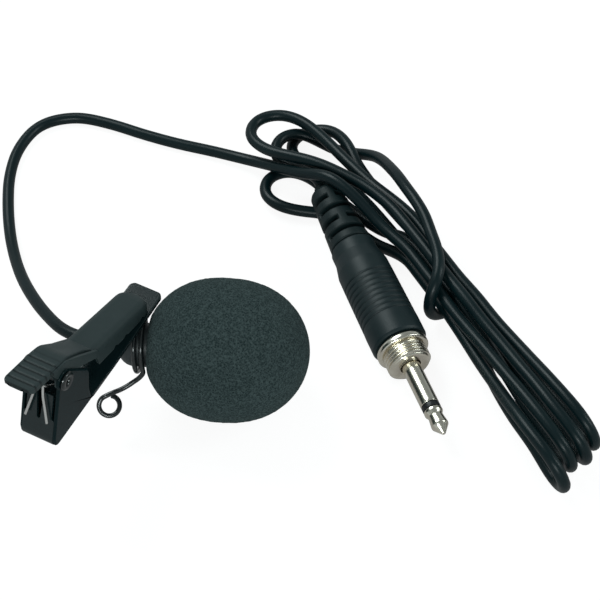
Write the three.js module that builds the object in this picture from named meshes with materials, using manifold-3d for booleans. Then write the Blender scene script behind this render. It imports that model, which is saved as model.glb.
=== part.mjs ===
// Lavalier microphone with foam windscreen, sprung tie clip, hanked cord and locking 3.5 mm plug.
// Millimetres, +Z up. The parts lie on a table at z = 0; the microphone points along +X.
import * as THREE from 'three';
import { mergeVertices } from 'three/addons/utils/BufferGeometryUtils.js';
import Module from 'manifold-3d';

// ---- driving dimensions -------------------------------------------------------------------------
const GAP = 0.3; // between pieces that touch

const CORD_D = 2.3; // outer diameter of the cord
const FOAM_R = 13; // windscreen, widest radius
const FOAM_LENGTH = 28.6;
const MIC_R = 4; // microphone housing
const MIC_HEIGHT = FOAM_R; // the windscreen lies on the table and holds the axis at its radius
const MIC_RING = new THREE.Vector3(-6.8, 8.4, MIC_HEIGHT); // middle of the wire ring

const PLATE_LENGTH = 37; // clip plate, tail to tip
const PLATE_W = 7;
const TIP_W = 6.1;
const SHEET = 0.7; // steel sheet of the clip
const CLIP_TAIL = new THREE.Vector3(-20.5, -17.75, 18.7); // underside of the plate at its tail
const CLIP_YAW = THREE.MathUtils.degToRad(67.4);
const PIVOT = [6.1, 13]; // along the plate and up from its underside
const HOLDER_HOLE = [30.5, -0.6]; // along and across the plate, where the wire holder turns

const PLUG_REAR = new THREE.Vector3(22.3, 54.9, 6); // middle of the strain relief's rear face
const PLUG_AXIS = new THREE.Vector3(0.4228, -0.9061, -0.0162).normalize();
const JACK_R = 1.75; // 3.5 mm plug
const GRIP_START = 16.6; // distances along the plug from the strain relief's rear face
const GRIP_END = 41;
const THREAD_END = 46;
const RING_START = 55.2;
const TIP_END = 61.6;

const ORIGIN_IN_PLAN = [0, 0.3]; // middle of microphone and clip, which becomes x = y = 0

// ---- solids -------------------------------------------------------------------------------------
const wasm = await Module();
wasm.setup();

function solid(geometry) {
  const bare = geometry.clone();
  bare.deleteAttribute('normal');
  bare.deleteAttribute('uv');
  const merged = mergeVertices(bare, 1e-4);
  return new wasm.Manifold(
    new wasm.Mesh({
      numProp: 3,
      vertProperties: new Float32Array(merged.attributes.position.array),
      triVerts: new Uint32Array(merged.index.array),
    }),
  );
}

function geometryOf(manifold) {
  const mesh = manifold.getMesh();
  const geometry = new THREE.BufferGeometry();
  geometry.setAttribute('position', new THREE.BufferAttribute(mesh.vertProperties, 3));
  geometry.setIndex(new THREE.BufferAttribute(mesh.triVerts, 1));
  return geometry;
}

function joined(...geometries) {
  return geometryOf(geometries.map(solid).reduce((whole, next) => whole.add(next)));
}

function cut(geometry, ...tools) {
  return geometryOf(tools.map(solid).reduce((whole, tool) => whole.subtract(tool), solid(geometry)));
}

function common(geometry, ...others) {
  return geometryOf(others.map(solid).reduce((whole, other) => whole.intersect(other), solid(geometry)));
}

// A turned piece about the X axis; the profile holds [x, radius] pairs and closes on itself.
function turned(profile, segments = 28) {
  const ring = profile.map(([x, radius]) => new THREE.Vector2(radius, x));
  const onAxis = profile[0][1] === 0 && profile[profile.length - 1][1] === 0;
  if (!onAxis) ring.push(ring[0].clone());
  const area = ring.reduce((sum, p, i) => {
    const q = ring[(i + 1) % ring.length];
    return sum + p.x * q.y - q.x * p.y;
  }, 0);
  if (area < 0) ring.reverse();
  return new THREE.LatheGeometry(ring, segments).rotateZ(-Math.PI / 2);
}

function box(sizeX, sizeY, sizeZ, x, y, z) {
  return new THREE.BoxGeometry(sizeX, sizeY, sizeZ).translate(x, y, z);
}

// A flat outline in the X-Z plane, made thick along Y from yStart.
function slab(shape, yStart, thickness) {
  return new THREE.ExtrudeGeometry(shape, { depth: thickness, bevelEnabled: false, curveSegments: 8 })
    .rotateX(Math.PI / 2)
    .translate(0, yStart + thickness, 0);
}

// An outline in the Y-Z plane, drawn out along X.
function drawn(shape, length) {
  const turn = new THREE.Matrix4().makeBasis(
    new THREE.Vector3(0, 1, 0), new THREE.Vector3(0, 0, 1), new THREE.Vector3(1, 0, 0));
  return new THREE.ExtrudeGeometry(shape, { depth: length, bevelEnabled: false, curveSegments: 5 })
    .applyMatrix4(turn);
}

function outline(points) {
  return new THREE.Shape(points.map(([a, b]) => new THREE.Vector2(a, b)));
}

function rod(radius, yStart, yEnd, x, z, sides = 20) {
  return new THREE.CylinderGeometry(radius, radius, yEnd - yStart, sides)
    .translate(x, (yStart + yEnd) / 2, z);
}

// A round tube through points, by parallel transport of its section, with flat ends.
function tube(points, radius, sides) {
  const count = points.length;
  const tangents = points.map((p, i) =>
    points[Math.min(i + 1, count - 1)].clone().sub(points[Math.max(i - 1, 0)]).normalize());
  let across = new THREE.Vector3(0, 0, 1).cross(tangents[0]);
  if (across.length() < 0.1) across = new THREE.Vector3(1, 0, 0);
  const position = [];
  points.forEach((p, i) => {
    across.addScaledVector(tangents[i], -across.dot(tangents[i])).normalize();
    const up = tangents[i].clone().cross(across);
    for (let k = 0; k < sides; k += 1) {
      const angle = ((k + 0.5) / sides) * 2 * Math.PI;
      const q = p.clone()
        .addScaledVector(across, radius * Math.cos(angle))
        .addScaledVector(up, radius * Math.sin(angle));
      position.push(q.x, q.y, q.z);
    }
  });
  const index = [];
  for (let i = 0; i < count - 1; i += 1) {
    for (let k = 0; k < sides; k += 1) {
      const a = i * sides + k;
      const b = i * sides + ((k + 1) % sides);
      index.push(a, b, b + sides, a, b + sides, a + sides);
    }
  }
  const last = (count - 1) * sides;
  for (let k = 1; k < sides - 1; k += 1) {
    index.push(0, k + 1, k);
    index.push(last, last + k, last + k + 1);
  }
  const geometry = new THREE.BufferGeometry();
  geometry.setAttribute('position', new THREE.Float32BufferAttribute(position, 3));
  geometry.setIndex(index);
  return geometry;
}

// Least distance between the surfaces of stretches of one tube that are not neighbours along it.
function leastGap(points, diameter) {
  const curve = new THREE.CatmullRomCurve3(points);
  const samples = curve.getSpacedPoints(Math.round(curve.getLength() / 0.5));
  const apart = Math.ceil((diameter * 3) / 0.5);
  let least = Infinity;
  for (let i = 0; i < samples.length; i += 1) {
    for (let k = i + apart; k < samples.length; k += 1) {
      least = Math.min(least, samples[i].distanceTo(samples[k]) - diameter);
    }
  }
  return least;
}

// ---- finishes -----------------------------------------------------------------------------------
const finish = {
  foam: new THREE.MeshStandardMaterial({ color: 0x3c464a, roughness: 1, metalness: 0 }),
  satin: new THREE.MeshStandardMaterial({ color: 0x23292b, roughness: 0.5, metalness: 0.2 }),
  paint: new THREE.MeshStandardMaterial({ color: 0x15191a, roughness: 0.18, metalness: 0.1 }),
  springSteel: new THREE.MeshStandardMaterial({ color: 0xc4c4be, roughness: 0.25, metalness: 1 }),
  darkWire: new THREE.MeshStandardMaterial({ color: 0x2a2d2e, roughness: 0.3, metalness: 0.8 }),
  cord: new THREE.MeshStandardMaterial({ color: 0x1c2427, roughness: 0.4, metalness: 0 }),
  boot: new THREE.MeshStandardMaterial({ color: 0x1a2022, roughness: 0.7, metalness: 0 }),
  nickel: new THREE.MeshStandardMaterial({ color: 0xd2cdbf, roughness: 0.2, metalness: 1 }),
  insulation: new THREE.MeshStandardMaterial({ color: 0x101213, roughness: 0.5, metalness: 0 }),
  aluminium: new THREE.MeshStandardMaterial({ color: 0xbfc2c4, roughness: 0.35, metalness: 1 }),
  brass: new THREE.MeshStandardMaterial({ color: 0xb59a55, roughness: 0.35, metalness: 1 }),
  board: new THREE.MeshStandardMaterial({ color: 0x2e5a38, roughness: 0.6, metalness: 0 }),
  rubber: new THREE.MeshStandardMaterial({ color: 0x1b1b1c, roughness: 0.9, metalness: 0 }),
};

const model = new THREE.Group();

function add(parent, name, geometry, material) {
  const mesh = new THREE.Mesh(geometry, material);
  mesh.name = name;
  parent.add(mesh);
}

// ---- microphone: local X runs forward from the wire ring ------------------------------------------
const mic = new THREE.Group();
mic.position.copy(MIC_RING);
model.add(mic);

const MIC_FRONT = 11.5; // front edge of the housing
const WALL_R = 3.5; // inside of the housing
const LEAD_EXIT = -5; // rear face of the grommet

add(mic, 'mic_housing', turned([
  [-3.6, 1.9], [-3.4, 2.7], [-2.9, 3.3], [-2.2, 3.75], [-1.2, MIC_R], [MIC_FRONT, MIC_R],
  [MIC_FRONT, WALL_R], [-0.6, WALL_R], [-1.4, 3], [-2, 1.9],
]), finish.satin);
add(mic, 'cord_grommet', turned([
  [LEAD_EXIT, 0.8], [LEAD_EXIT, 1.35], [-4, 1.6], [-1.7, 1.6], [-1.4, 2.3], [-0.6, 2.3], [-0.6, 0.8],
]), finish.rubber);
add(mic, 'lead_core', turned([[-4.8, 0], [-4.8, 0.5], [1.6, 0.5], [1.6, 0]], 12), finish.insulation);
add(mic, 'capsule_board', turned([[1.9, 0], [1.9, 2.7], [2.5, 2.7], [2.5, 0]]), finish.board);
add(mic, 'capsule_can', turned([
  [2.8, 0], [2.8, 2.8], [7.8, 2.8], [7.8, 1], [7.4, 1], [7.4, 2.4], [3.2, 2.4], [3.2, 0],
]), finish.aluminium);
add(mic, 'capsule_sleeve', turned([[2.6, 2.95], [2.6, 3.3], [8.4, 3.3], [8.4, 2.95]]), finish.rubber);
add(mic, 'acoustic_mesh', turned([[8.8, 0], [8.8, 3.2], [9.2, 3.2], [9.2, 0]]), finish.insulation);

const CAP_REAR = 9.6;
const CAP_FRONT = 13;
const soundHoles = Array.from({ length: 6 }, (_, i) => {
  const angle = (i * Math.PI) / 3;
  return new THREE.CylinderGeometry(0.45, 0.45, 6, 8)
    .rotateZ(Math.PI / 2)
    .translate(CAP_FRONT - 1, 2.1 * Math.cos(angle), 2.1 * Math.sin(angle));
});
add(mic, 'grille_cap', cut(turned([
  [CAP_FRONT, 0], [CAP_FRONT, MIC_R - 0.3], [CAP_FRONT - 0.3, MIC_R], [MIC_FRONT + 0.2, MIC_R],
  [MIC_FRONT + 0.2, 3.25], [CAP_REAR, 3.25], [CAP_REAR, 2.85], [CAP_FRONT - 0.8, 2.85], [CAP_FRONT - 0.8, 0],
]), ...soundHoles), finish.satin);

// Windscreen: an egg of foam whose radius follows two power curves, with a bore for the housing.
const FOAM_START = 1.75;
const FOAM_BORE_R = MIC_R + GAP;
const FOAM_RIM_R = 5.6;
const FOAM_WIDEST = 0.47;
function foamRadius(t) {
  if (t < FOAM_WIDEST) {
    const rim = (FOAM_RIM_R / FOAM_R) ** 2;
    return FOAM_R * Math.sqrt(1 - (1 - rim) * (1 - t / FOAM_WIDEST) ** 2.3);
  }
  return FOAM_R * Math.sqrt(1 - ((t - FOAM_WIDEST) / (1 - FOAM_WIDEST)) ** 2.25);
}
const foamOutline = Array.from({ length: 17 }, (_, i) => {
  const t = 0.5 - 0.5 * Math.cos((Math.PI * i) / 16);
  return [FOAM_START + FOAM_LENGTH * t, i === 16 ? 0 : foamRadius(t)];
});
add(mic, 'windscreen', turned([
  ...foamOutline, [CAP_FRONT + 2.1, 0], [CAP_FRONT + 2.1, FOAM_BORE_R], [FOAM_START, FOAM_BORE_R],
], 36), finish.foam);

// ---- clip: local X runs along the plate from its tail to its tip, Y to the far side ---------------
const clip = new THREE.Group();
clip.position.copy(CLIP_TAIL);
clip.rotation.z = CLIP_YAW;
model.add(clip);

const EAR_OUT = PLATE_W / 2; // outer faces of the base's ears
const EAR_IN = EAR_OUT - 0.6;
const CHEEK_OUT = EAR_IN - GAP; // outer faces of the lever's cheeks
const CHEEK_IN = CHEEK_OUT - 0.5;
const HOLE_R = 1.2;
const PIN_R = 0.95;
const WALL_TOP = 10.75;

const plate = new THREE.Shape();
plate.moveTo(1.2, -EAR_OUT);
plate.lineTo(20, -EAR_OUT);
plate.lineTo(PLATE_LENGTH - 1.6, -TIP_W / 2);
plate.quadraticCurveTo(PLATE_LENGTH, -TIP_W / 2, PLATE_LENGTH, -TIP_W / 2 + 1.6);
plate.lineTo(PLATE_LENGTH, TIP_W / 2 - 1.6);
plate.quadraticCurveTo(PLATE_LENGTH, TIP_W / 2, PLATE_LENGTH - 1.6, TIP_W / 2);
plate.lineTo(20, EAR_OUT);
plate.lineTo(1.2, EAR_OUT);
const plateSheet = new THREE.ExtrudeGeometry(plate, { depth: SHEET, bevelEnabled: false, curveSegments: 6 });

// The end wall is the plate's tail bent up and leaning in, narrower above a step, with a V slot.
const wallAt = (height, inside = 0) => [0.344 * height + inside, height];
const endWall = slab(outline([
  [1.9, 0], [1.35, 0.08], [0.95, 0.35], [0.75, 0.8], wallAt(2.2), wallAt(WALL_TOP),
  wallAt(WALL_TOP + 0.1, 0.78), wallAt(2.4, 0.78), [1.6, 1.2], [1.8, 0.85], [2.3, SHEET - 0.05], [2.3, 0],
]), -EAR_IN - 0.05, 2 * EAR_IN + 0.1);
const slotTool = drawn(outline([[-0.3, 5.4], [0.3, 5.4], [0.75, 12], [-0.75, 12]]), 8);
const shoulderTools = [-1, 1].map((side) => box(4.4, 1, 6.4, 3.4, side * 3, 9.1));

const ear = new THREE.Shape();
ear.moveTo(0.95, 0.3);
ear.lineTo(12.3, 0.3);
ear.lineTo(12, 3.4);
ear.lineTo(12.6, 7);
ear.quadraticCurveTo(12.75, 8.3, 11.9, 9.1);
ear.lineTo(PIVOT[0] + 1.15, PIVOT[1] + 1.58);
ear.absarc(...PIVOT, 1.95, THREE.MathUtils.degToRad(54), THREE.MathUtils.degToRad(199), false);
ear.lineTo(...wallAt(2.2, 0.05));
const ears = [-EAR_OUT, EAR_IN].map((y) => slab(ear, y, EAR_OUT - EAR_IN));
add(clip, 'clip_base', cut(
  joined(plateSheet, cut(endWall, slotTool, ...shoulderTools), ...ears),
  rod(HOLE_R, -5, 5, ...PIVOT),
  new THREE.CylinderGeometry(0.9, 0.9, 3, 20)
    .rotateX(Math.PI / 2)
    .translate(HOLDER_HOLE[0], HOLDER_HOLE[1], 0),
), finish.paint);

add(clip, 'clip_pivot', turned([
  [-4.2, 0.75], [-4.25, 1.5], [-4.05, 1.8], [-3.8, 1.8], [-3.8, PIN_R], [3.8, PIN_R], [3.8, 1.8],
  [4.05, 1.8], [4.25, 1.5], [4.2, 0.75], [3.6, 0.5], [-3.6, 0.5],
], 24).rotateZ(Math.PI / 2).translate(PIVOT[0], 0, PIVOT[1]), finish.paint);

// Lever: a channel-shaped jaw, a narrow neck, two cheeks on the pivot and a ribbed thumb pad.
const LEVER_SHEET = 0.6;
const JAW_REAR = [15.5, 9.3];
const JAW_TIP = [33.2, 3.38];
const PAD_REAR = [-2, 19.2];
const PAD_FRONT = [7.9, 16.4];
const slopeOf = (from, to) => Math.atan2(from[1] - to[1], to[0] - from[0]);

function channel(halfWidth, top, radius, depth, length) {
  const section = new THREE.Shape();
  section.moveTo(-halfWidth, -depth);
  section.lineTo(halfWidth, -depth);
  section.absarc(halfWidth - radius, top - radius, radius, 0, Math.PI / 2, false);
  section.absarc(radius - halfWidth, top - radius, radius, Math.PI / 2, Math.PI, false);
  return drawn(section, length);
}

const jawSides = slab(outline([
  [15.2, 9.6], [32.9, 5], [33.5, 3.1], [32.9, 1], [30.9, 1], [30.2, 1.75], [29.4, 1.4], [25.6, 2.3],
  [24.8, 2.95], [24, 2.65], [22.3, 3.1], [21.5, 3.8], [20.7, 3.45], [16.3, 4.6], [15.9, 7], [15.2, 7.3],
]), -4, 8);
const jawPlan = new THREE.Shape();
jawPlan.moveTo(15.35, -4);
jawPlan.lineTo(31.3, -4);
jawPlan.lineTo(31.3, -3.1);
jawPlan.quadraticCurveTo(33.25, -3.05, 33.3, -1.5);
jawPlan.lineTo(33.3, 1.5);
jawPlan.quadraticCurveTo(33.25, 3.05, 31.3, 3.1);
jawPlan.lineTo(31.3, 4);
jawPlan.lineTo(15.35, 4);
const jawPrism = new THREE.ExtrudeGeometry(jawPlan, { depth: 14, bevelEnabled: false, curveSegments: 5 });
const atJaw = (geometry) => geometry.rotateY(slopeOf(JAW_REAR, JAW_TIP)).translate(JAW_REAR[0], 0, JAW_REAR[1]);
const jaw = cut(
  common(atJaw(channel(3, 0, 1.3, 10, 24).translate(-3, 0, 0)), jawSides, jawPrism),
  atJaw(channel(3 - LEVER_SHEET, -LEVER_SHEET, 0.75, 11, 30).translate(-5, 0, 0)),
);

const atPad = (geometry) => geometry.rotateY(slopeOf(PAD_REAR, PAD_FRONT)).translate(PAD_REAR[0], 0, PAD_REAR[1]);
const padLength = Math.hypot(PAD_FRONT[0] - PAD_REAR[0], PAD_REAR[1] - PAD_FRONT[1]);
const padPlan = new THREE.Shape();
padPlan.moveTo(1.3, -2.8);
padPlan.lineTo(padLength + 1, -2.8);
padPlan.lineTo(padLength + 1, 2.8);
padPlan.lineTo(1.3, 2.8);
padPlan.quadraticCurveTo(0, 2.8, -0.2, 1.5);
padPlan.lineTo(-0.2, -1.5);
padPlan.quadraticCurveTo(0, -2.8, 1.3, -2.8);
const padPrism = new THREE.ExtrudeGeometry(padPlan, { depth: 6, bevelEnabled: false, curveSegments: 5 })
  .translate(0, 0, -3);
const padGrooves = Array.from({ length: 5 }, (_, i) => box(0.4, 4.6, 0.4, 1.6 + 1.5 * i, 0, 0));
const pad = atPad(cut(
  common(channel(2.8, 0, 0.6, 1.2, 14).translate(-1, 0, 0), padPrism),
  channel(2.25, -LEVER_SHEET, 0.2, 2, 14).translate(0.5, 0, 0),
  ...padGrooves,
));

const neckSide = slab(outline([
  [7.3, 16.55], [8.2, 16.3], [12.2, 12.6], [15.7, 9.22], [15.4, 8.65], [11.8, 12.15], [7.7, 15.75], [6.9, 15.95],
]), -4, 8);
const neckPlan = new THREE.Shape();
neckPlan.moveTo(6, -2.75);
neckPlan.quadraticCurveTo(9.6, -2.7, 11.5, -2.3);
neckPlan.quadraticCurveTo(14, -1.9, 16.5, -2.7);
neckPlan.lineTo(16.5, 2.7);
neckPlan.quadraticCurveTo(14, 1.9, 11.5, 2.3);
neckPlan.quadraticCurveTo(9.6, 2.7, 6, 2.75);
const neck = common(
  neckSide,
  new THREE.ExtrudeGeometry(neckPlan, { depth: 24, bevelEnabled: false, curveSegments: 5 }),
);

const cheek = new THREE.Shape();
cheek.moveTo(PIVOT[0] - 1.2, PIVOT[1] + 1.34);
cheek.lineTo(3.6, 17);
cheek.lineTo(7.8, 16);
cheek.lineTo(12, 12.2);
cheek.lineTo(16.2, 8.5);
cheek.lineTo(16.2, 7);
cheek.lineTo(11.6, 10.6);
cheek.lineTo(PIVOT[0] + 1.1, PIVOT[1] - 1.42);
cheek.absarc(...PIVOT, 1.8, THREE.MathUtils.degToRad(308), THREE.MathUtils.degToRad(132), true);
const cheeks = [-CHEEK_OUT, CHEEK_IN].map((y) => slab(cheek, y, CHEEK_OUT - CHEEK_IN));
add(clip, 'clip_lever', cut(joined(jaw, pad, neck, ...cheeks), rod(HOLE_R, -5, 5, ...PIVOT)), finish.paint);

// Spring: two coils on the pivot, a bridge under the pad and two legs that press on the end wall.
const SPRING_WIRE = 0.55;
const COIL_R = 1.75;
const BRIDGE = [PIVOT[0] - 4.1, PIVOT[1] + 3.75];
const LEG_TOP = [3.12, 10.95];
const LEG_FOOT = [1.25, 5.8];
const leavesCoil = (target, side) => {
  const dx = target[0] - PIVOT[0];
  const dz = target[1] - PIVOT[1];
  return Math.atan2(dz, dx) + side * Math.acos(COIL_R / Math.hypot(dx, dz));
};
function springHalf(side) {
  const legAngle = leavesCoil(LEG_TOP, -1);
  const bridgeAngle = leavesCoil(BRIDGE, 1);
  const sweep = (legAngle - bridgeAngle + 4 * Math.PI) % (2 * Math.PI);
  const steps = Math.ceil((8 * sweep) / (2 * Math.PI));
  const points = [
    new THREE.Vector3(LEG_FOOT[0], side * 2.1, LEG_FOOT[1]),
    new THREE.Vector3(LEG_TOP[0], side * 0.85, LEG_TOP[1]),
  ];
  for (let i = 0; i <= steps; i += 1) {
    const angle = legAngle - (sweep * i) / steps;
    points.push(new THREE.Vector3(
      PIVOT[0] + COIL_R * Math.cos(angle), side * (0.55 + (1.0 * i) / steps), PIVOT[1] + COIL_R * Math.sin(angle)));
  }
  points.push(new THREE.Vector3(BRIDGE[0] + 0.3, side * 1.55, BRIDGE[1] - 0.55));
  points.push(new THREE.Vector3(BRIDGE[0], side * 1.2, BRIDGE[1]));
  return points;
}
const springPath = [...springHalf(-1), ...springHalf(1).reverse()];
add(clip, 'clip_spring', tube(springPath, SPRING_WIRE / 2, 5), finish.springSteel);
console.log('least gap of the spring to itself, mm:', leastGap(springPath, SPRING_WIRE).toFixed(2));

// ---- wire holder: through the plate, round the housing and out to its eye -------------------------
const WIRE = 0.9;
const RING_R = MIC_R + GAP + WIRE / 2 + 0.1;
const STUB = new THREE.Vector3(HOLDER_HOLE[0], HOLDER_HOLE[1], 0)
  .applyAxisAngle(new THREE.Vector3(0, 0, 1), CLIP_YAW).add(CLIP_TAIL);
const EYE = new THREE.Vector3(-11.64, -1.2, 7);
const EYE_R = 1.8;
const EYE_TILT = THREE.MathUtils.degToRad(35);
const onRing = (turns) => {
  const angle = THREE.MathUtils.degToRad(95) + turns * 2 * Math.PI;
  return new THREE.Vector3(
    MIC_RING.x - 0.8 + 1.32 * turns, MIC_RING.y + RING_R * Math.cos(angle), MIC_HEIGHT + RING_R * Math.sin(angle));
};
const onEye = (turns) => {
  const angle = THREE.MathUtils.degToRad(113) + turns * 2 * Math.PI;
  const up = EYE_R * Math.sin(angle);
  const drop = 0.3 - 1.5 * turns;
  return new THREE.Vector3(
    EYE.x + EYE_R * Math.cos(angle),
    EYE.y + up * Math.cos(EYE_TILT) - drop * Math.sin(EYE_TILT),
    EYE.z + up * Math.sin(EYE_TILT) + drop * Math.cos(EYE_TILT));
};
const holderPath = [
  ...[20.5, 19.2, 18.75].map((z) => new THREE.Vector3(STUB.x, STUB.y, z)),
  new THREE.Vector3(STUB.x + 0.06, STUB.y - 0.2, 18.28),
  new THREE.Vector3(STUB.x + 0.2, STUB.y - 0.68, 17.95),
  new THREE.Vector3(STUB.x + 0.42, STUB.y - 1.4, 17.86),
  ...Array.from({ length: 22 }, (_, i) => onRing((1.27 * i) / 21)),
  new THREE.Vector3(-5.88, 3.5, 10.95),
  new THREE.Vector3(-6.2, 3, 9.95),
  new THREE.Vector3(-7.05, 2.45, 9.1),
  new THREE.Vector3(-8.3, 1.9, 8.55),
  new THREE.Vector3(-9.7, 1.3, 8.3),
  new THREE.Vector3(-11.1, 0.65, 8.3),
  ...Array.from({ length: 15 }, (_, i) => onEye((0.92 * i) / 14)),
];
add(model, 'wire_holder', tube(holderPath, WIRE / 2, 8), finish.darkWire);
console.log('least gap of the wire holder to itself, mm:', leastGap(holderPath, WIRE).toFixed(2));
add(model, 'holder_washer', new THREE.LatheGeometry(
  [[0.62, 0], [1.3, 0], [1.3, 0.35], [0.62, 0.35], [0.62, 0]].map(([r, z]) => new THREE.Vector2(r, z)), 24,
).rotateX(Math.PI / 2).translate(STUB.x, STUB.y, CLIP_TAIL.z + SHEET + GAP), finish.springSteel);

// ---- plug: local X runs from the strain relief's rear face to the tip -----------------------------
const plug = new THREE.Group();
plug.position.copy(PLUG_REAR);
plug.quaternion.setFromUnitVectors(new THREE.Vector3(1, 0, 0), PLUG_AXIS);
model.add(plug);

// Strain relief: a cone with four grooves, each bridged twice so that the rings stay together.
const reliefGrooves = Array.from({ length: 4 }, (_, i) => {
  const start = 4.2 + 3 * i;
  const floor = 2 + 0.12 * i;
  const groove = turned([[start, floor], [start, 6], [start + 1.2, 6], [start + 1.2, floor]]);
  const bridge = i % 2 ? box(3, 14, 1.9, start, 0, 0) : box(3, 1.9, 14, start, 0, 0);
  return cut(groove, bridge);
});
add(plug, 'strain_relief', cut(turned([
  [0, 0.75], [0, 1.6], [0.3, 1.75], [1.5, 1.85], [2, 3], [2.5, 3.25], [16, 4.15], [16.3, 4.05],
  [16.3, 2.2], [18.1, 2.2], [18.1, 0.75],
]), ...reliefGrooves), finish.boot);
add(plug, 'plug_core', turned([[18.6, 0], [18.6, 3.2], [30, 3.2], [30, 0]]), finish.insulation);
add(plug, 'tip_lug', box(2.8, 1.6, 0.4, 31.8, 0, 0), finish.brass);
add(plug, 'sleeve_lug', box(4, 1.6, 0.4, 32.3, 0, 1.9), finish.brass);

const gripRings = [0, 1, 2, 3, 4, 5].flatMap((i) => {
  const x = 20.4 + 1.6 * i;
  const radius = 5.12 + 0.03 * i;
  return [[x, radius], [x + 0.15, radius - 0.35], [x + 0.35, radius - 0.35], [x + 0.5, radius]];
});
add(plug, 'plug_grip', turned([
  [GRIP_START, 2.6], [GRIP_START, 4.2], [GRIP_START + 0.3, 4.4], [17.6, 4.5], [19.4, 5.05], ...gripRings,
  [31, 5.3], [GRIP_END - 0.5, 5.3], [GRIP_END, 5.05], [GRIP_END, 3.6], [18.3, 3.6], [18.3, 2.6],
]), finish.boot);

const THREAD_START = 42.7;
const threadRings = Array.from({ length: 4 }, (_, i) => {
  const x = THREAD_START + 0.2 + 0.72 * i;
  return [[x, 3.8], [x + 0.2, 4.2], [x + 0.32, 4.2], [x + 0.52, 3.8]];
}).flat();
add(plug, 'lock_collar', turned([
  [37, 2], [37, 3.2], [GRIP_END + GAP, 3.2], [GRIP_END + GAP, 4.8], [GRIP_END + 0.5, 4.95],
  [THREAD_START - 0.2, 4.95], [THREAD_START, 4.75], [THREAD_START, 3.8], ...threadRings,
  [THREAD_END - 0.15, 3.8], [THREAD_END, 3.65], [THREAD_END, 2],
]), finish.nickel);

add(plug, 'jack_sleeve', turned([
  [34.6, 1.15], [34.6, 2.6], [36, 2.6], [36, JACK_R], [RING_START - 0.15, JACK_R], [RING_START - 0.15, 1.15],
]), finish.nickel);
add(plug, 'jack_insulator', turned([
  [36.5, 0.65], [36.5, 1], [RING_START, 1], [RING_START, JACK_R], [RING_START + 0.9, JACK_R],
  [RING_START + 0.9, 0.65],
]), finish.insulation);
add(plug, 'jack_tip', turned([
  [33.5, 0], [33.5, 0.5], [RING_START + 1.05, 0.5], [RING_START + 1.05, JACK_R], [56.9, JACK_R], [57.5, 1.4],
  [57.8, 1.4], [59.5, 1.62], [59.8, 1.6], [TIP_END - 0.1, 0.35], [TIP_END, 0.2], [TIP_END, 0],
]), finish.nickel);

// ---- cord: from the microphone through the hank to the plug ----------------------------------------
// The hank lies along DOWN. Seven strands pass its waist, one in the middle and six round it, and the
// cord's own last turns bind them there.
const WAIST = new THREE.Vector3(44.8, 35.6, 6.7);
const DOWN = new THREE.Vector3(0.557, -0.831, 0).normalize();
const RIGHT = new THREE.Vector3(-DOWN.y, DOWN.x, 0);
const STRAND_R = 2.8; // round the middle strand, cord centre to cord centre
const WRAP_R = 5.55;
const FOLD_R = 4.7;
const FOLD_LEAN = THREE.MathUtils.degToRad(14);
const ON_TABLE = CORD_D / 2 + 0.05;

const fromWaist = (down, right, z) =>
  new THREE.Vector3(WAIST.x, WAIST.y, z).addScaledVector(DOWN, down).addScaledVector(RIGHT, right);
const points = (rows) => rows.map((row) => new THREE.Vector3(...row));

// A strand through the waist: degrees tells its place round the middle one, heading 1 is downwards.
function throughWaist(degrees, heading) {
  const radius = degrees === null ? 0 : STRAND_R;
  const angle = THREE.MathUtils.degToRad(degrees ?? 0);
  return [-5, -1.7, 1.7, 5].map((down) =>
    fromWaist(heading * down, radius * Math.cos(angle), WAIST.z + radius * Math.sin(angle)));
}

// Half a turn standing on the table at the hank's lower end, from its top to its foot.
function fold(tip, lane) {
  const middle = ON_TABLE + FOLD_R * Math.cos(FOLD_LEAN);
  return Array.from({ length: 7 }, (_, i) => {
    const angle = (i * Math.PI) / 6;
    const rise = FOLD_R * Math.cos(angle);
    return fromWaist(
      tip - FOLD_R + FOLD_R * Math.sin(angle),
      lane - rise * Math.sin(FOLD_LEAN),
      middle + rise * Math.cos(FOLD_LEAN),
    );
  });
}

// A quarter turn between a strand along the hank and the wrap round it.
function quarter(down, right, z, from, to) {
  return Array.from({ length: 4 }, (_, i) => {
    const angle = THREE.MathUtils.degToRad(from + ((to - from) * i) / 4);
    return fromWaist(down + 4.75 * Math.cos(angle), right + 4.75 * Math.sin(angle), z);
  });
}

// Angle round the bundle and way along it: the cord comes from below and leaves aslant over the top.
const wrap = [
  [-90, 6.6], [-112, 6.65], [-135, 6.7], [-157, 6.7], [-180, 6.6], [-203, 6.3], [-225, 5.75], [-240, 5],
  [-252, 3.8], [-262, 2.2], [-272, 0.3], [-281, -1.9], [-288, -4.2],
].map(([degrees, down]) => {
  const angle = THREE.MathUtils.degToRad(degrees);
  return fromWaist(down, WRAP_R * Math.cos(angle), WAIST.z + WRAP_R * Math.sin(angle));
});

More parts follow.
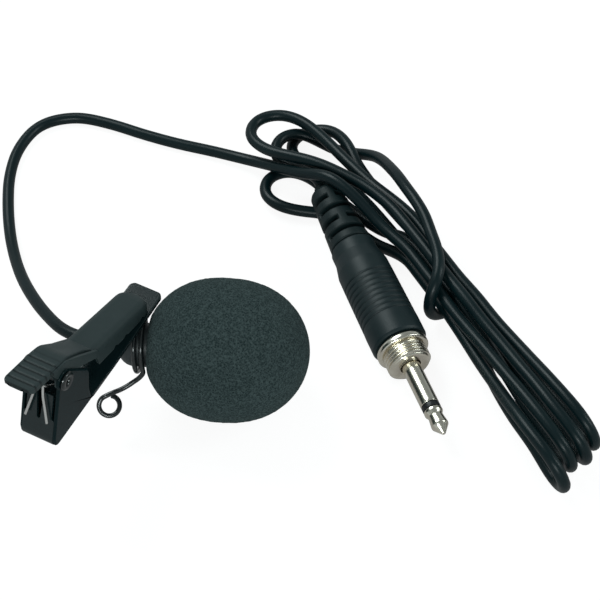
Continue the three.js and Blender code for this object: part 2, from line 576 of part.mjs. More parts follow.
const hankPath = [
  ...throughWaist(150, 1),
  ...points([
    [48.5, 25.1, 8.1], [51.9, 20.3, 8.2], [55.2, 15.5, 8.7], [58.4, 10.6, 9.3], [61.5, 5.8, 10.1],
    [64.7, 0.9, 10.6],
  ]),
  ...fold(49, -1.5),
  ...points([
    [66.9, 2.7, 1.6], [63.6, 7.6, 1.8], [60.6, 12.4, 2.8], [57.4, 17.2, 4], [54.1, 21.9, 5.1],
    [50.9, 26.6, 6.2],
  ]),
  ...throughWaist(null, -1),
  ...points([
    [39.2, 43.3, 5.9], [36, 45.9, 3.8], [32.9, 48.9, 2.3], [29.8, 52.1, 1.4], [26.5, 55.1, 1.2],
    [22.9, 57.9, 1.2], [19, 60.3, 1.2], [14.7, 61.2, 1.3], [12.2, 57.8, 1.9], [14.4, 54.3, 2.1],
    [18.8, 53.3, 1.7], [23.3, 52.5, 1.3], [27.3, 50.3, 1.2], [30.6, 47.3, 1.3], [34, 44.3, 1.9],
    [37.1, 41.5, 3.7],
  ]),
  ...throughWaist(210, 1),
  ...points([
    [48.4, 25, 4.8], [51.5, 20, 5.2], [54.2, 14.8, 5.9], [56.8, 9.6, 7], [59.3, 4.5, 8.4],
    [61.9, -0.6, 9.8],
  ]),
  ...fold(51.9, -5),
  ...points([
    [64.3, 0.6, 1.7], [61.3, 5.7, 1.2], [58.5, 10.9, 1.2], [56, 16.2, 1.6], [53.5, 21.5, 2.9],
    [50.7, 26.5, 3.9],
  ]),
  ...throughWaist(270, -1),
  ...points([
    [39.7, 43.5, 2.4], [37.4, 47.3, 1.4], [34.7, 51.1, 1.2], [31.7, 54.6, 1.7], [28.4, 57.7, 2.4],
    [24.8, 60.6, 2.7], [21.1, 63.4, 2.2], [17.9, 66.6, 1.4], [16.5, 70.8, 1.2], [19.9, 73.2, 2],
    [23.7, 71.4, 3.4], [26.3, 67.6, 4.1], [28.7, 63.7, 3.7], [31.4, 60, 2.9], [34.2, 56.3, 2.3],
    [36.9, 52.7, 2.4], [39.4, 48.8, 3.2], [41.7, 45, 4.5],
  ]),
  ...throughWaist(330, 1),
  ...points([
    [53.1, 28.2, 4.5], [56.3, 23.5, 3.4], [59.6, 18.7, 2.4], [62.9, 14, 1.7], [66.2, 9.2, 1.3],
    [69.4, 4.4, 1.6],
  ]),
  ...fold(49, 1.65).reverse(),
  ...points([
    [67.2, 2.6, 10.6], [64.1, 7.5, 10.2], [60.9, 12.4, 9.5], [57.7, 17.2, 9.2], [54.3, 21.9, 9.2],
    [50.9, 26.7, 9.6],
  ]),
  ...throughWaist(90, -1),
  ...points([
    [39.4, 43.6, 9.4], [36.8, 47.4, 9.2], [33.6, 50.8, 9.1], [30.1, 53.7, 9], [26.1, 56.1, 8.9],
    [22, 58.3, 8.8], [17.8, 60.1, 8.3], [13.5, 61.7, 7.5], [9.6, 63.9, 6.6], [7, 67.6, 6],
    [8, 71.9, 5.8], [12.1, 73.5, 6], [16.4, 71.9, 6.4], [20.1, 69.2, 6.5], [23.3, 65.8, 6.4],
    [26.3, 62.2, 6.5], [29.3, 58.7, 6.7], [32.4, 55.3, 7], [35.7, 52.1, 7.4], [38.9, 48.8, 7.7],
    [41.8, 45.2, 7.9],
  ]),
  ...throughWaist(30, 1),
  ...points([
    [53.3, 28.2, 7.9], [56.6, 23.4, 7.8], [60, 18.7, 8.2], [63.3, 13.9, 9], [66.5, 9.1, 10],
  ]),
  ...fold(47.2, 4.7),
  ...points([
    [70.1, 8.9, 1.7], [66.8, 13.7, 1.2], [63.6, 18.6, 1.2], [60.7, 22.9, 1.2],
  ]),
  fromWaist(14.4, 5, ON_TABLE),
  ...quarter(11.35, 0, ON_TABLE, 90, 180),
  ...wrap,
  fromWaist(-7.2, 2.7, WAIST.z + WRAP_R),
  fromWaist(-10.4, 3, WAIST.z + WRAP_R),
];

const LOOPS = 9; // seven half turns, the big loop and the wrap
const hankCurve = new THREE.CatmullRomCurve3(hankPath);
add(model, 'cord_hank', tube(hankCurve.getSpacedPoints(LOOPS * 24), CORD_D / 2, 6), finish.cord);
console.log('least gap of the hank to itself, mm:', leastGap(hankPath, CORD_D).toFixed(2));

function lead(name, path, steps) {
  const section = new THREE.Shape(Array.from({ length: 8 }, (_, i) => {
    const angle = ((i + 0.5) * Math.PI) / 4;
    return new THREE.Vector2((CORD_D / 2) * Math.cos(angle), (CORD_D / 2) * Math.sin(angle));
  }));
  const curve = new THREE.CatmullRomCurve3(path);
  add(model, name, new THREE.ExtrudeGeometry(section, { steps, extrudePath: curve }), finish.cord);
  console.log(name, 'length, mm:', curve.getLength().toFixed(0));
}

const hankStart = hankPath[0].clone().addScaledVector(DOWN, -GAP);
lead('mic_lead', [
  new THREE.Vector3(MIC_RING.x + LEAD_EXIT - GAP, MIC_RING.y, MIC_HEIGHT),
  new THREE.Vector3(MIC_RING.x + LEAD_EXIT - 2.5, MIC_RING.y, MIC_HEIGHT),
  ...points([
    [-20.9, 11.2, 11.5], [-25.7, 16.5, 9.1], [-29.7, 22.4, 6.7], [-33.2, 28.7, 4.4], [-36.1, 35.4, 2.4],
    [-38.5, 42.5, 1.3], [-40.2, 49.8, 1.2], [-41.2, 57.3, 1.2], [-40.6, 64.8, 1.2], [-37.3, 71.4, 1.2],
    [-30.5, 74.1, 1.2], [-23, 72.9, 1.2], [-15.9, 70.6, 1.2], [-8.6, 68.6, 1.2], [-1.2, 67, 1.3],
    [5.9, 64.8, 1.9], [12.1, 61.3, 4.2], [17.7, 57.2, 7.2], [23.8, 53.8, 10.3], [29.6, 49.1, 9.6],
    [34.7, 43.8, 8.2],
  ]),
  hankStart.clone().addScaledVector(DOWN, -2.3),
  hankStart,
], 72);

const hankEnd = hankPath[hankPath.length - 1].clone().addScaledVector(DOWN, -GAP);
lead('plug_lead', [
  hankEnd,
  hankEnd.clone().addScaledVector(DOWN, -2.3),
  ...points([
    [38.6, 51.3, 11.9], [37.2, 54.7, 10.9], [35.9, 58.2, 9.2], [34.3, 61.6, 6.9], [32, 64.8, 4.1],
    [28.9, 67.1, 1.8], [24.8, 68.5, 1.2], [20.7, 69.8, 2.5], [16.6, 69.9, 4.1], [13.4, 67.2, 3.7],
    [14.9, 63.1, 4], [18.1, 60.1, 5],
  ]),
  PLUG_REAR.clone().addScaledVector(PLUG_AXIS, -2.6),
  PLUG_REAR.clone().addScaledVector(PLUG_AXIS, -GAP),
], 36);
console.log('hank length, mm:', hankCurve.getLength().toFixed(0));

model.position.set(-ORIGIN_IN_PLAN[0], -ORIGIN_IN_PLAN[1], 0);
const assembly = new THREE.Group();
assembly.add(model);
export default assembly;
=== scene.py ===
import bmesh
import bpy
import numpy as np
from math import cos, pi, radians, sin
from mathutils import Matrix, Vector


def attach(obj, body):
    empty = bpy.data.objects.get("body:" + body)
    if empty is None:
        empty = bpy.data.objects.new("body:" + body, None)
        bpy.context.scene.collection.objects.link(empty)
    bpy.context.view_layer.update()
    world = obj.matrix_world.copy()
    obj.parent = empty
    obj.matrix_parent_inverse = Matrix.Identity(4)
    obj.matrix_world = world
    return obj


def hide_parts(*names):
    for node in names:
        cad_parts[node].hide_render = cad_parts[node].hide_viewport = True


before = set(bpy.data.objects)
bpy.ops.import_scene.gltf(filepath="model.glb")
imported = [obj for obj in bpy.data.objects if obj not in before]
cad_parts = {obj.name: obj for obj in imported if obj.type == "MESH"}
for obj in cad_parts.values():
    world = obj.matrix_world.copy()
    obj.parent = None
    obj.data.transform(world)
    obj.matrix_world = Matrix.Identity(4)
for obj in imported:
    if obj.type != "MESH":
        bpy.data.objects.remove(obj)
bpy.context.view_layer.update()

# ---- the table, the light and the camera ----------------------------------------------------------
# A white sweep under soft studio light: one wide lamp behind on the left, smaller ones on the right and
# below the camera, and a pale sky, which black enamel and the cord mirror as long soft streaks.
camera = bpy.data.objects.new("camera", bpy.data.cameras.new("camera"))
camera.data.lens = 106.2
camera.data.sensor_width = 36
camera.data.clip_start = 0.01
camera.location = (0.03742, -0.17789, 0.26792)
LOOKED_AT = Vector((0.0199, 0.0307, 0))
camera.rotation_euler = (LOOKED_AT - camera.location).to_track_quat("-Z", "Y").to_euler()
bpy.context.scene.collection.objects.link(camera)
bpy.context.scene.camera = camera
bpy.context.scene.view_settings.view_transform = "Standard"


def lamp(name, place, width, length, watts):
    """An area lamp of width by length metres at place, turned to the middle of the table."""
    data = bpy.data.lights.new(name, "AREA")
    data.shape = "RECTANGLE"
    data.size = width
    data.size_y = length
    data.energy = watts
    data.color = (0.9, 1, 1)
    made = bpy.data.objects.new(name, data)
    made.location = place
    made.rotation_euler = (LOOKED_AT - made.location).to_track_quat("-Z", "Y").to_euler()
    bpy.context.scene.collection.objects.link(made)


lamp("wide_lamp", Vector((-0.35, 0.35, 0.6)), 0.42, 0.3, 2.7)
lamp("side_lamp", Vector((0.6, 0.1, 0.42)), 0.12, 0.4, 1.1)
lamp("front_lamp", Vector((0.03, -0.56, 0.36)), 0.28, 0.08, 1.5)


class Socket:
    """An output in a node tree. Arithmetic on it adds Math nodes, so 1 - mask works."""

    def __init__(self, shader, output):
        self.shader = shader
        self.output = output

    def maths(self, operation, *terms):
        return self.shader.node("ShaderNodeMath", {"operation": operation}, dict(enumerate(terms)))

    def cosine(self):
        return self.maths("COSINE", self)

    def __add__(self, other):
        return self.maths("ADD", self, other)

    def __radd__(self, other):
        return self.maths("ADD", other, self)

    def __sub__(self, other):
        return self.maths("SUBTRACT", self, other)

    def __rsub__(self, other):
        return self.maths("SUBTRACT", other, self)

    def __mul__(self, other):
        return self.maths("MULTIPLY", self, other)

    def up_to(self, other):
        return self.maths("MINIMUM", self, other)

    def between(self, low, high):
        """0 below low, 1 above high, a straight slope between them."""
        return self.shader.node(
            "ShaderNodeMapRange", {"clamp": True}, {"Value": self, "From Min": low, "From Max": high})


class Shader:
    """A material or world and its nodes. node() adds one of any type and returns its output."""

    def __init__(self, owner):
        self.owner = owner
        owner.use_nodes = True
        self.tree = owner.node_tree
        self.tree.nodes.clear()

    def node(self, kind, settings=None, inputs=None, output=0):
        made = self.tree.nodes.new(kind)
        for name, value in (settings or {}).items():
            setattr(made, name, value)
        for name, value in (inputs or {}).items():
            if isinstance(value, Socket):
                self.tree.links.new(value.output, made.inputs[name])
            elif isinstance(value, tuple) and made.inputs[name].type == "RGBA":
                made.inputs[name].default_value = (*value, 1)
            else:
                made.inputs[name].default_value = value
        return Socket(self, made.outputs[output]) if made.outputs else None

    def mixed(self, factor, first, second):
        """A colour between first and second. Inputs 6 and 7 and output 2 are the node's colour sockets."""
        return self.node(
            "ShaderNodeMix", {"data_type": "RGBA"}, {0: factor, 6: first, 7: second}, output=2)

    def noise(self, where, scale, detail=3.0, rough=0.55):
        return self.node(
            "ShaderNodeTexNoise", {"noise_dimensions": "3D"},
            {"Vector": where, "Scale": scale, "Detail": detail, "Roughness": rough})

    def bump(self, height, depth, strength=1.0):
        """The normal of a surface raised by height, from 0 to 1, times depth in metres."""
        return self.node(
            "ShaderNodeBump", {}, {"Height": height, "Distance": depth, "Strength": strength})

    def place(self):
        return self.node("ShaderNodeTexCoord", output="Object")


sky = Shader(bpy.data.worlds.new("sky"))
bpy.context.scene.world = sky.owner
SKY_TOP = 0.24
SKY_EDGE = 0.62
towards = sky.node("ShaderNodeTexCoord", output="Generated")
height = sky.node("ShaderNodeSeparateXYZ", {}, {0: towards}, output="Z")
low = 1 - height.between(0.0, 0.75)
strength = SKY_TOP + low * low * (SKY_EDGE - SKY_TOP)
sky.node("ShaderNodeOutputWorld", {}, {"Surface": sky.node(
    "ShaderNodeBackground", {}, {"Color": (0.88, 0.985, 1.0), "Strength": strength})})

TABLE_HALF = 1.5
table_mesh = bpy.data.meshes.new("table")
table_mesh.from_pydata(
    [(x * TABLE_HALF, y * TABLE_HALF, 0) for x, y in ((-1, -1), (1, -1), (1, 1), (-1, 1))], [], [(0, 1, 2, 3)])
table = bpy.data.objects.new("table", table_mesh)
bpy.context.scene.collection.objects.link(table)
white = Shader(bpy.data.materials.new("white_table"))
ray = {name: white.node("ShaderNodeLightPath", output=name)
       for name in ("Is Camera Ray", "Is Glossy Ray", "Is Transmission Ray")}
direct = (ray["Is Camera Ray"] + ray["Is Transmission Ray"]).up_to(1)
paper = white.node("ShaderNodeBsdfDiffuse", {}, {"Color": (0.8, 0.8, 0.8)})
GLOW, GLOW_SEEN = 0.3, 0.86  # what the table sheds on the part, and how much more of it is seen
glow = white.node(
    "ShaderNodeEmission", {}, {"Color": (1.0, 1.0, 1.0), "Strength": GLOW + direct * GLOW_SEEN})
SHADOW_SHARE = 0.22  # of the table as seen, the part that is lit paper and takes shadows
factor = (direct + ray["Is Glossy Ray"]).up_to(1) * (1 - SHADOW_SHARE)
lit = white.node("ShaderNodeMixShader", {}, {0: factor, 1: paper, 2: glow})
white.node("ShaderNodeOutputMaterial", {}, {"Surface": lit})
table_mesh.materials.append(white.owner)

# ---- the cord --------------------------------------------------------------------------------------
# One PVC cord, 2.3 mm thick and about a metre long, from the microphone's grommet to the plug. Its
# middle is folded into a hank of seven strands, and half a turn of its own end binds the hank's waist.
MM = 0.001
ORIGIN = np.array([0.0, 0.3, 0.0])
CORD_R = 1.15
WAIST = np.array([44.8, 35.6, 6.7])
DOWN = np.array([0.557, -0.831, 0.0]) / np.hypot(0.557, 0.831)
RIGHT = np.array([-DOWN[1], DOWN[0], 0.0])
STRAND_R = 2.8
WRAP_R = 5.55
FOLD_R = 4.7
FOLD_LEAN = radians(14)
BEND_R = 4.75
ON_TABLE = 1.2
MIC_RING = np.array([-6.8, 8.4, 13.0])
PLUG_REAR = np.array([22.3, 54.9, 6.0])
PLUG_AXIS = np.array([0.4228, -0.9061, -0.0162])
PLUG_AXIS = PLUG_AXIS / np.linalg.norm(PLUG_AXIS)


def from_waist(down, right, z):
    """The point that far down the hank and to its right, at height z."""
    return WAIST * (1, 1, 0) + DOWN * down + RIGHT * right + np.array([0, 0, z])


def through_waist(degrees, heading):
    """Four points of a strand through the waist, at its place on the circle of six, or in the middle."""
    radius = 0 if degrees is None else STRAND_R
    angle = radians(degrees or 0)
    return [from_waist(heading * down, radius * cos(angle), WAIST[2] + radius * sin(angle))
            for down in (-5, -1.7, 1.7, 5)]


def fold(tip, lane):
    """Half a turn standing on the table: a circle of FOLD_R, leaning, from its top to its foot."""
    middle = ON_TABLE + FOLD_R * cos(FOLD_LEAN)
    turns = np.linspace(0, pi, 7)
    return [from_waist(tip - FOLD_R + FOLD_R * sin(a), lane - FOLD_R * cos(a) * sin(FOLD_LEAN),
                       middle + FOLD_R * cos(a) * cos(FOLD_LEAN)) for a in turns]


def quarter(down, right, z, start, end):
    """A quarter circle of BEND_R between a strand and the wrap."""
    turns = np.radians(start + (end - start) * np.arange(4) / 4)
    return [from_waist(down + BEND_R * cos(a), right + BEND_R * sin(a), z) for a in turns]


# angle round the bundle and way down it: the cord comes from below and leaves aslant over the top
WRAP_TURNS = (
    (-90, 6.6), (-112, 6.9), (-135, 7.3), (-157, 7.6), (-180, 7.6), (-203, 7.2), (-225, 6.5), (-240, 5.7),
    (-252, 4.5), (-262, 2.9), (-272, 0.8), (-281, -1.7), (-288, -4.2))
wrap = [from_waist(down, WRAP_R * cos(radians(turn)), WAIST[2] + WRAP_R * sin(radians(turn)))
        for turn, down in WRAP_TURNS]

ROUTE = [
    (-12.1, 8.4, 13), (-14.3, 8.4, 13),
    (-20.9, 11.2, 11.5), (-25.7, 16.5, 9.1), (-29.7, 22.4, 6.7), (-33.2, 28.7, 4.4), (-36.1, 35.4, 2.4),
    (-38.5, 42.5, 1.3), (-40.2, 49.8, 1.2), (-41.2, 57.3, 1.2), (-40.6, 64.8, 1.2), (-37.3, 71.4, 1.2),
    (-30.5, 74.1, 1.2), (-23, 72.9, 1.2), (-15.9, 70.6, 1.2), (-8.6, 68.6, 1.2), (-1.2, 67, 1.3),
    (5.9, 64.8, 1.9), (12.1, 61.3, 4.2), (17.7, 57.2, 7.2), (23.8, 53.8, 10.3), (29.6, 49.1, 9.6),
    (34.7, 43.8, 8.2),
    *through_waist(150, 1),
    (48.5, 25.1, 8.1), (51.9, 20.3, 8.2), (55.2, 15.5, 8.7), (58.4, 10.6, 9.3), (61.5, 5.8, 10.1),
    (64.7, 0.9, 10.6),
    *fold(49, -1.5),
    (66.9, 2.7, 1.6), (63.6, 7.6, 1.8), (60.6, 12.4, 2.8), (57.4, 17.2, 4.1), (54.1, 21.9, 5.25),
    (50.9, 26.6, 6.5),
    *through_waist(None, -1),
    (39.2, 43.3, 5.9), (36, 45.9, 3.8), (32.9, 48.9, 2.3), (29.8, 52.1, 1.4), (26.5, 55.1, 1.2),
    (22.9, 58.2, 1.2), (19, 61.7, 1.2), (14.4, 62.7, 1.3), (11, 60.1, 1.6), (10.8, 55.7, 1.9),
    (14, 52.7, 2.1), (18.8, 52, 1.7), (23.3, 52.1, 1.3), (27.3, 50.3, 1.2), (30.6, 47.3, 1.3),
    (34, 44.3, 1.9), (37.1, 41.5, 3.7),
    *through_waist(210, 1),
    (48.7, 25.2, 5.1), (51.6, 20.1, 5.2), (54.2, 14.8, 5.9), (56.8, 9.6, 7), (59.3, 4.5, 8.4),
    (61.9, -0.6, 9.8),
    *fold(51.9, -5),
    (64.3, 0.6, 1.7), (61.3, 5.7, 1.2), (58.5, 10.9, 1.2), (56, 16.2, 1.4), (53.5, 21.5, 2.25),
    (50.7, 26.5, 3.62),
    *through_waist(270, -1),
    (39.7, 43.5, 2.4), (37.4, 47.3, 1.4), (34.7, 51.1, 1.2), (31.7, 54.6, 1.7), (28.4, 57.7, 2.4),
    (24.8, 60.6, 2.7), (21, 63.2, 2.2), (16.9, 65.6, 1.4), (14.7, 69.5, 1.2), (16.1, 72.8, 1.3),
    (19.4, 74.1, 2), (23.2, 72.9, 3.1), (26.5, 68.4, 4.1), (28.7, 63.7, 3.7), (31.4, 60, 2.9),
    (34.2, 56.3, 2.3), (36.9, 52.7, 2.4), (39.4, 48.8, 3.2), (41.7, 45, 4.5),
    *through_waist(330, 1),
    (53.1, 28.2, 4.5), (56.3, 23.5, 3.4), (59.6, 18.7, 2.4), (62.9, 14, 1.7), (66.2, 9.2, 1.3),
    (69.4, 4.4, 1.6),
    *fold(49, 1.65)[::-1],
    (67.2, 2.6, 10.6), (64.1, 7.5, 10.2), (60.9, 12.4, 9.5), (57.7, 17.2, 9.2), (54.3, 21.9, 9.2),
    (50.9, 26.7, 9.6),
    *through_waist(90, -1),
    (39.4, 43.6, 9.4), (36.8, 47.4, 9.2), (33.6, 50.8, 9.1), (30.1, 53.7, 9), (26.1, 56.1, 8.9),
    (22, 58.3, 8.8), (17.8, 60.1, 8.3), (13.5, 61.7, 7.5), (9.6, 63.9, 6.6), (6.6, 67.8, 6),
    (7.7, 72.2, 5.8), (12.2, 73.9, 6), (16.6, 72.2, 6.4), (20.1, 69.2, 6.5), (23.3, 65.8, 6.4),
    (26.3, 62.2, 6.5), (29.3, 58.7, 6.7), (32.4, 55.3, 7), (35.7, 52.1, 7.4), (38.9, 48.8, 7.7),
    (41.8, 45.2, 7.9),
    *through_waist(30, 1),
    (53.3, 28.2, 7.9), (56.6, 23.4, 7.8), (60, 18.7, 8.2), (63.3, 13.9, 9), (66.5, 9.1, 10),
    *fold(47.2, 4.7),
    (70.1, 8.9, 1.7), (66.8, 13.7, 1.2), (63.6, 18.6, 1.2), (60.7, 22.9, 1.2),
    from_waist(14.4, 5, ON_TABLE),
    *quarter(11.35, 0, ON_TABLE, 90, 180),
    *wrap,
    *(from_waist(down, right, WAIST[2] + WRAP_R) for down, right in ((-7.2, 2.6), (-10.4, 3.1), (-13, 3.3))),
    (38.6, 51.3, 11.8), (37.1, 54.7, 10.8), (35.6, 58.2, 9.1), (34.1, 61.9, 6.9), (32, 65.7, 4.3),
    (28.9, 68.1, 2), (24.8, 69.1, 1.3), (20.6, 70.3, 2.5), (16.2, 71.2, 3.8), (12.5, 69.1, 3.9),
    (11.9, 65.1, 3.8), (14.1, 62, 4), (17.9, 59.9, 5),
    PLUG_REAR - 2.6 * PLUG_AXIS, PLUG_REAR - 0.3 * PLUG_AXIS,
]


def smooth_route(points, step):
    """A centripetal Catmull-Rom curve through points, then resampled to equal steps along it."""
    p = np.array(points, float)
    p = np.vstack([2 * p[0] - p[1], p, 2 * p[-1] - p[-2]])
    gaps = np.maximum(np.linalg.norm(np.diff(p, axis=0), axis=1), 1e-6) ** 0.5
    d0, d1, d2 = (gaps[k:len(gaps) - 2 + k, None, None] for k in range(3))
    x0, x1, x2, x3 = (p[k:len(p) - 3 + k, None, :] for k in range(4))
    t = np.linspace(0, 1, 24, endpoint=False)[None, :, None]
    m1 = ((x1 - x0) / d0 - (x2 - x0) / (d0 + d1) + (x2 - x1) / d1) * d1
    m2 = ((x2 - x1) / d1 - (x3 - x1) / (d1 + d2) + (x3 - x2) / d2) * d1
    fine = (2 * t**3 - 3 * t**2 + 1) * x1 + (t**3 - 2 * t**2 + t) * m1 \
        + (3 * t**2 - 2 * t**3) * x2 + (t**3 - t**2) * m2
    fine = np.vstack([fine.reshape(-1, 3), p[-2:-1]])
    along = np.concatenate([[0], np.cumsum(np.linalg.norm(np.diff(fine, axis=0), axis=1))])
    even = np.linspace(0, along[-1], max(2, int(round(along[-1] / step)) + 1))
    return np.stack([np.interp(even, along, fine[:, k]) for k in range(3)], axis=1)


def eased(path, spread):
    """path with each inner point moved to the weighted mean of its neighbours, and none in the table."""
    reach = int(3 * spread)
    weight = np.exp(-0.5 * (np.arange(-reach, reach + 1) / spread) ** 2)
    before = 2 * path[0] - path[reach:0:-1]
    after = 2 * path[-1] - path[-2:-reach - 2:-1]
    wide = np.vstack([before, path, after])
    soft = np.stack([np.convolve(wide[:, k], weight / weight.sum(), "valid") for k in range(3)], axis=1)
    soft[:, 2] = np.maximum(soft[:, 2], CORD_R)
    return soft


def piece(name, grids, material, body, nodes=()):
    """A mesh object of one or more grids of points, in metres; each is (points, wraps across)."""
    vertices, faces, start = [], [], 0
    for grid, wraps in grids:
        rows, columns = grid.shape[:2]
        r, c = np.meshgrid(np.arange(rows - 1), np.arange(columns if wraps else columns - 1), indexing="ij")
        right = (c + 1) % columns
        faces.append(start + np.stack(
            [r * columns + c, r * columns + right, (r + 1) * columns + right, (r + 1) * columns + c],
            axis=-1).reshape(-1, 4))
        vertices.append(grid.reshape(-1, 3))
        start += rows * columns
    mesh = bpy.data.meshes.new(name)
    mesh.from_pydata(np.vstack(vertices).tolist(), [], np.vstack(faces).tolist())
    work = bmesh.new()
    work.from_mesh(mesh)
    bmesh.ops.remove_doubles(work, verts=work.verts, dist=2e-6)
    bmesh.ops.dissolve_degenerate(work, edges=work.edges, dist=1e-7)
    bmesh.ops.recalc_face_normals(work, faces=work.faces)
    work.to_mesh(mesh)
    work.free()
    mesh.shade_smooth()
    mesh.materials.append(material)
    made = bpy.data.objects.new(name, mesh)
    bpy.context.scene.collection.objects.link(made)
    if nodes:
        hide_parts(*nodes)
    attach(made, body)
    return made


def swept(path, radius, sides):
    """A round tube: a circle of radius carried along path by parallel transport, its ends closed."""
    tangent = np.gradient(path, axis=0)
    tangent /= np.linalg.norm(tangent, axis=1)[:, None]
    across = np.cross((0.0, 0.0, 1.0), tangent[0])
    if np.linalg.norm(across) < 0.1:
        across = np.array([1.0, 0.0, 0.0])
    sideways = []
    for direction in tangent:
        across = across - direction * across.dot(direction)
        across = across / np.linalg.norm(across)
        sideways.append(across)
    sideways = np.array(sideways)
    up = np.cross(tangent, sideways)
    angle = 2 * pi * np.arange(sides) / sides
    ring = sideways[:, None] * np.cos(angle)[None, :, None] + up[:, None] * np.sin(angle)[None, :, None]
    body = path[:, None] + ring * radius
    first = path[0] + ring[0] * radius * 0.9
    last = path[-1] + ring[-1] * radius * 0.9
    rows = [np.repeat(path[:1], sides, axis=0)[None], first[None], body, last[None],
            np.repeat(path[-1:], sides, axis=0)[None]]
    return np.concatenate(rows)


def finish(shader, colour, roughness, normal, metallic=0.0, **plain):
    """Closes a material with the Principled shader. plain holds more of its inputs, with _ for spaces."""
    inputs = {"Base Color": colour, "Roughness": roughness, "Metallic": metallic, "Normal": normal}
    inputs.update({name.replace("_", " "): value for name, value in plain.items()})
    shader.node("ShaderNodeOutputMaterial", {}, {
        "Surface": shader.node("ShaderNodeBsdfPrincipled", {}, inputs)})
    return shader.owner


def grained(name, cloud, colours, roughness, relief, ramp=None, skin=None, **plain):
    """A material that varies by noise: cloud and skin are its (scale, detail) for colour and for height.

    roughness is its least and what the cloud adds, relief is (depth in metres, strength), and ramp is
    the (low, high) part of the cloud over which the colour changes. Without skin the cloud is the height.
    """
    shader = Shader(bpy.data.materials.new(name))
    where = shader.place()
    shade = shader.noise(where, *cloud)
    height = shader.noise(where, *skin) if skin else shade
    return finish(
        shader, shader.mixed(shade.between(*ramp) if ramp else shade, *colours),
        roughness[0] + shade * roughness[1], shader.bump(height, *relief), **plain)


cord_material = grained(
    "cord_pvc", (140.0, 2.0), ((0.0012, 0.0088, 0.0108), (0.0026, 0.012, 0.014)), (0.3, 0.1),
    (0.00003, 0.2), ramp=(0.35, 0.7), IOR=1.5, Specular_IOR_Level=0.25)

cord_path = (eased(smooth_route(ROUTE, 0.5), 3.2) - ORIGIN) * MM
cord = piece(
    "cord", [(swept(cord_path, CORD_R * MM, 16), True)], cord_material, "microphone",
    ("mic_lead", "cord_hank", "plug_lead"))

# ---- the plug ----------------------------------------------------------------------------------------
# A 3.5 mm plug: a moulded strain relief cut into rings, a black sleeve with nine fine grooves that
# turns a nickel locking collar, and the nickel shaft with its black insulating ring and pointed tip.
turn = np.cross((1.0, 0.0, 0.0), PLUG_AXIS)
skew = np.array([[0, -turn[2], turn[1]], [turn[2], 0, -turn[0]], [-turn[1], turn[0], 0]])
PLUG_TURN = np.eye(3) + skew + skew @ skew / (1 + PLUG_AXIS[0])


def on_plug(points):
    """From millimetres along and round the plug to the frame, in metres."""
    return (points @ PLUG_TURN.T + PLUG_REAR - ORIGIN) * MM


def turned(profile, segments=96, soft=0.12, step=0.5):
    """A profile of (x, radius) rows turned about X, its corners rounded by soft millimetres."""
    rows = np.array(profile, float)
    rounded = [rows[0]]
    for before, corner, after in zip(rows[:-2], rows[1:-1], rows[2:]):
        back, on = before - corner, after - corner
        a = min(soft, 0.45 * np.linalg.norm(back)) * back / max(np.linalg.norm(back), 1e-9)
        b = min(soft, 0.45 * np.linalg.norm(on)) * on / max(np.linalg.norm(on), 1e-9)
        rounded += [corner + a * (1 - t) ** 2 + b * t**2 for t in (0, 0.33, 0.67, 1)]
    rounded.append(rows[-1])
    line = [rounded[0]]
    for point in rounded[1:]:
        count = max(1, int(np.ceil(np.linalg.norm(point - line[-1]) / step)))
        start = line[-1]
        line += [start + (point - start) * k / count for k in range(1, count + 1)]
    line = np.array(line)
    return round_x(line[:, 0], np.repeat(line[:, 1:], segments, axis=1))


def round_x(x, radius):
    """A surface round the X axis: radius[row, step] at x[row]."""
    angle = 2 * pi * np.arange(radius.shape[1]) / radius.shape[1]
    along = np.broadcast_to(x[:, None], radius.shape)
    return np.stack([along, radius * np.cos(angle), radius * np.sin(angle)], axis=-1)


def smoothstep(value, low, high):
    """0 below low and 1 above high, by 3t^2 - 2t^3."""
    t = np.clip((value - low) / (high - low), 0, 1)
    return t * t * (3 - 2 * t)


moulded_material = grained(
    "moulded_black", (260.0, 3.0), ((0.0022, 0.0095, 0.0108), (0.0045, 0.0135, 0.0148)), (0.44, 0.1),
    (0.00002, 0.3), ramp=(0.3, 0.7), skin=(5200.0, 2.0), Specular_IOR_Level=0.28)

# radius along the strain relief, less each groove except where a bridge crosses it
relief_x = np.arange(0, 16.3, 0.1)
relief_r = np.interp(relief_x, [0, 0.3, 1.5, 2, 2.5, 16, 16.3], [1.6, 1.75, 1.85, 3, 3.25, 4.15, 4])
RELIEF_STEPS = 120
around = 2 * pi * np.arange(RELIEF_STEPS) / RELIEF_STEPS
relief = np.repeat(relief_r[:, None], RELIEF_STEPS, axis=1)
for i in range(4):
    start = 4.2 + 3 * i
    groove = smoothstep(relief_x, start - 0.12, start + 0.14) \
        * (1 - smoothstep(relief_x, start + 1.05, start + 1.32))
    across = np.abs(np.sin(around) if i % 2 else np.cos(around)) * 3.5
    is_open = smoothstep(across, 0.8, 1.15)
    relief -= groove[:, None] * is_open[None] * (relief_r[:, None] - 2 - 0.12 * i)
relief_rows = np.concatenate([
    np.array([[0.0, 0.0], [0.0, 1.2]]), np.stack([relief_x, relief_r], axis=1),
    np.array([[16.3, 2.2], [18.1, 2.2], [18.1, 0.0]])])
relief_radius = np.repeat(relief_rows[:, 1:], RELIEF_STEPS, axis=1)
relief_radius[2:-3] = relief
strain_relief = piece(
    "plug_strain_relief", [(on_plug(round_x(relief_rows[:, 0], relief_radius)), True)],
    moulded_material, "microphone", ("strain_relief",))

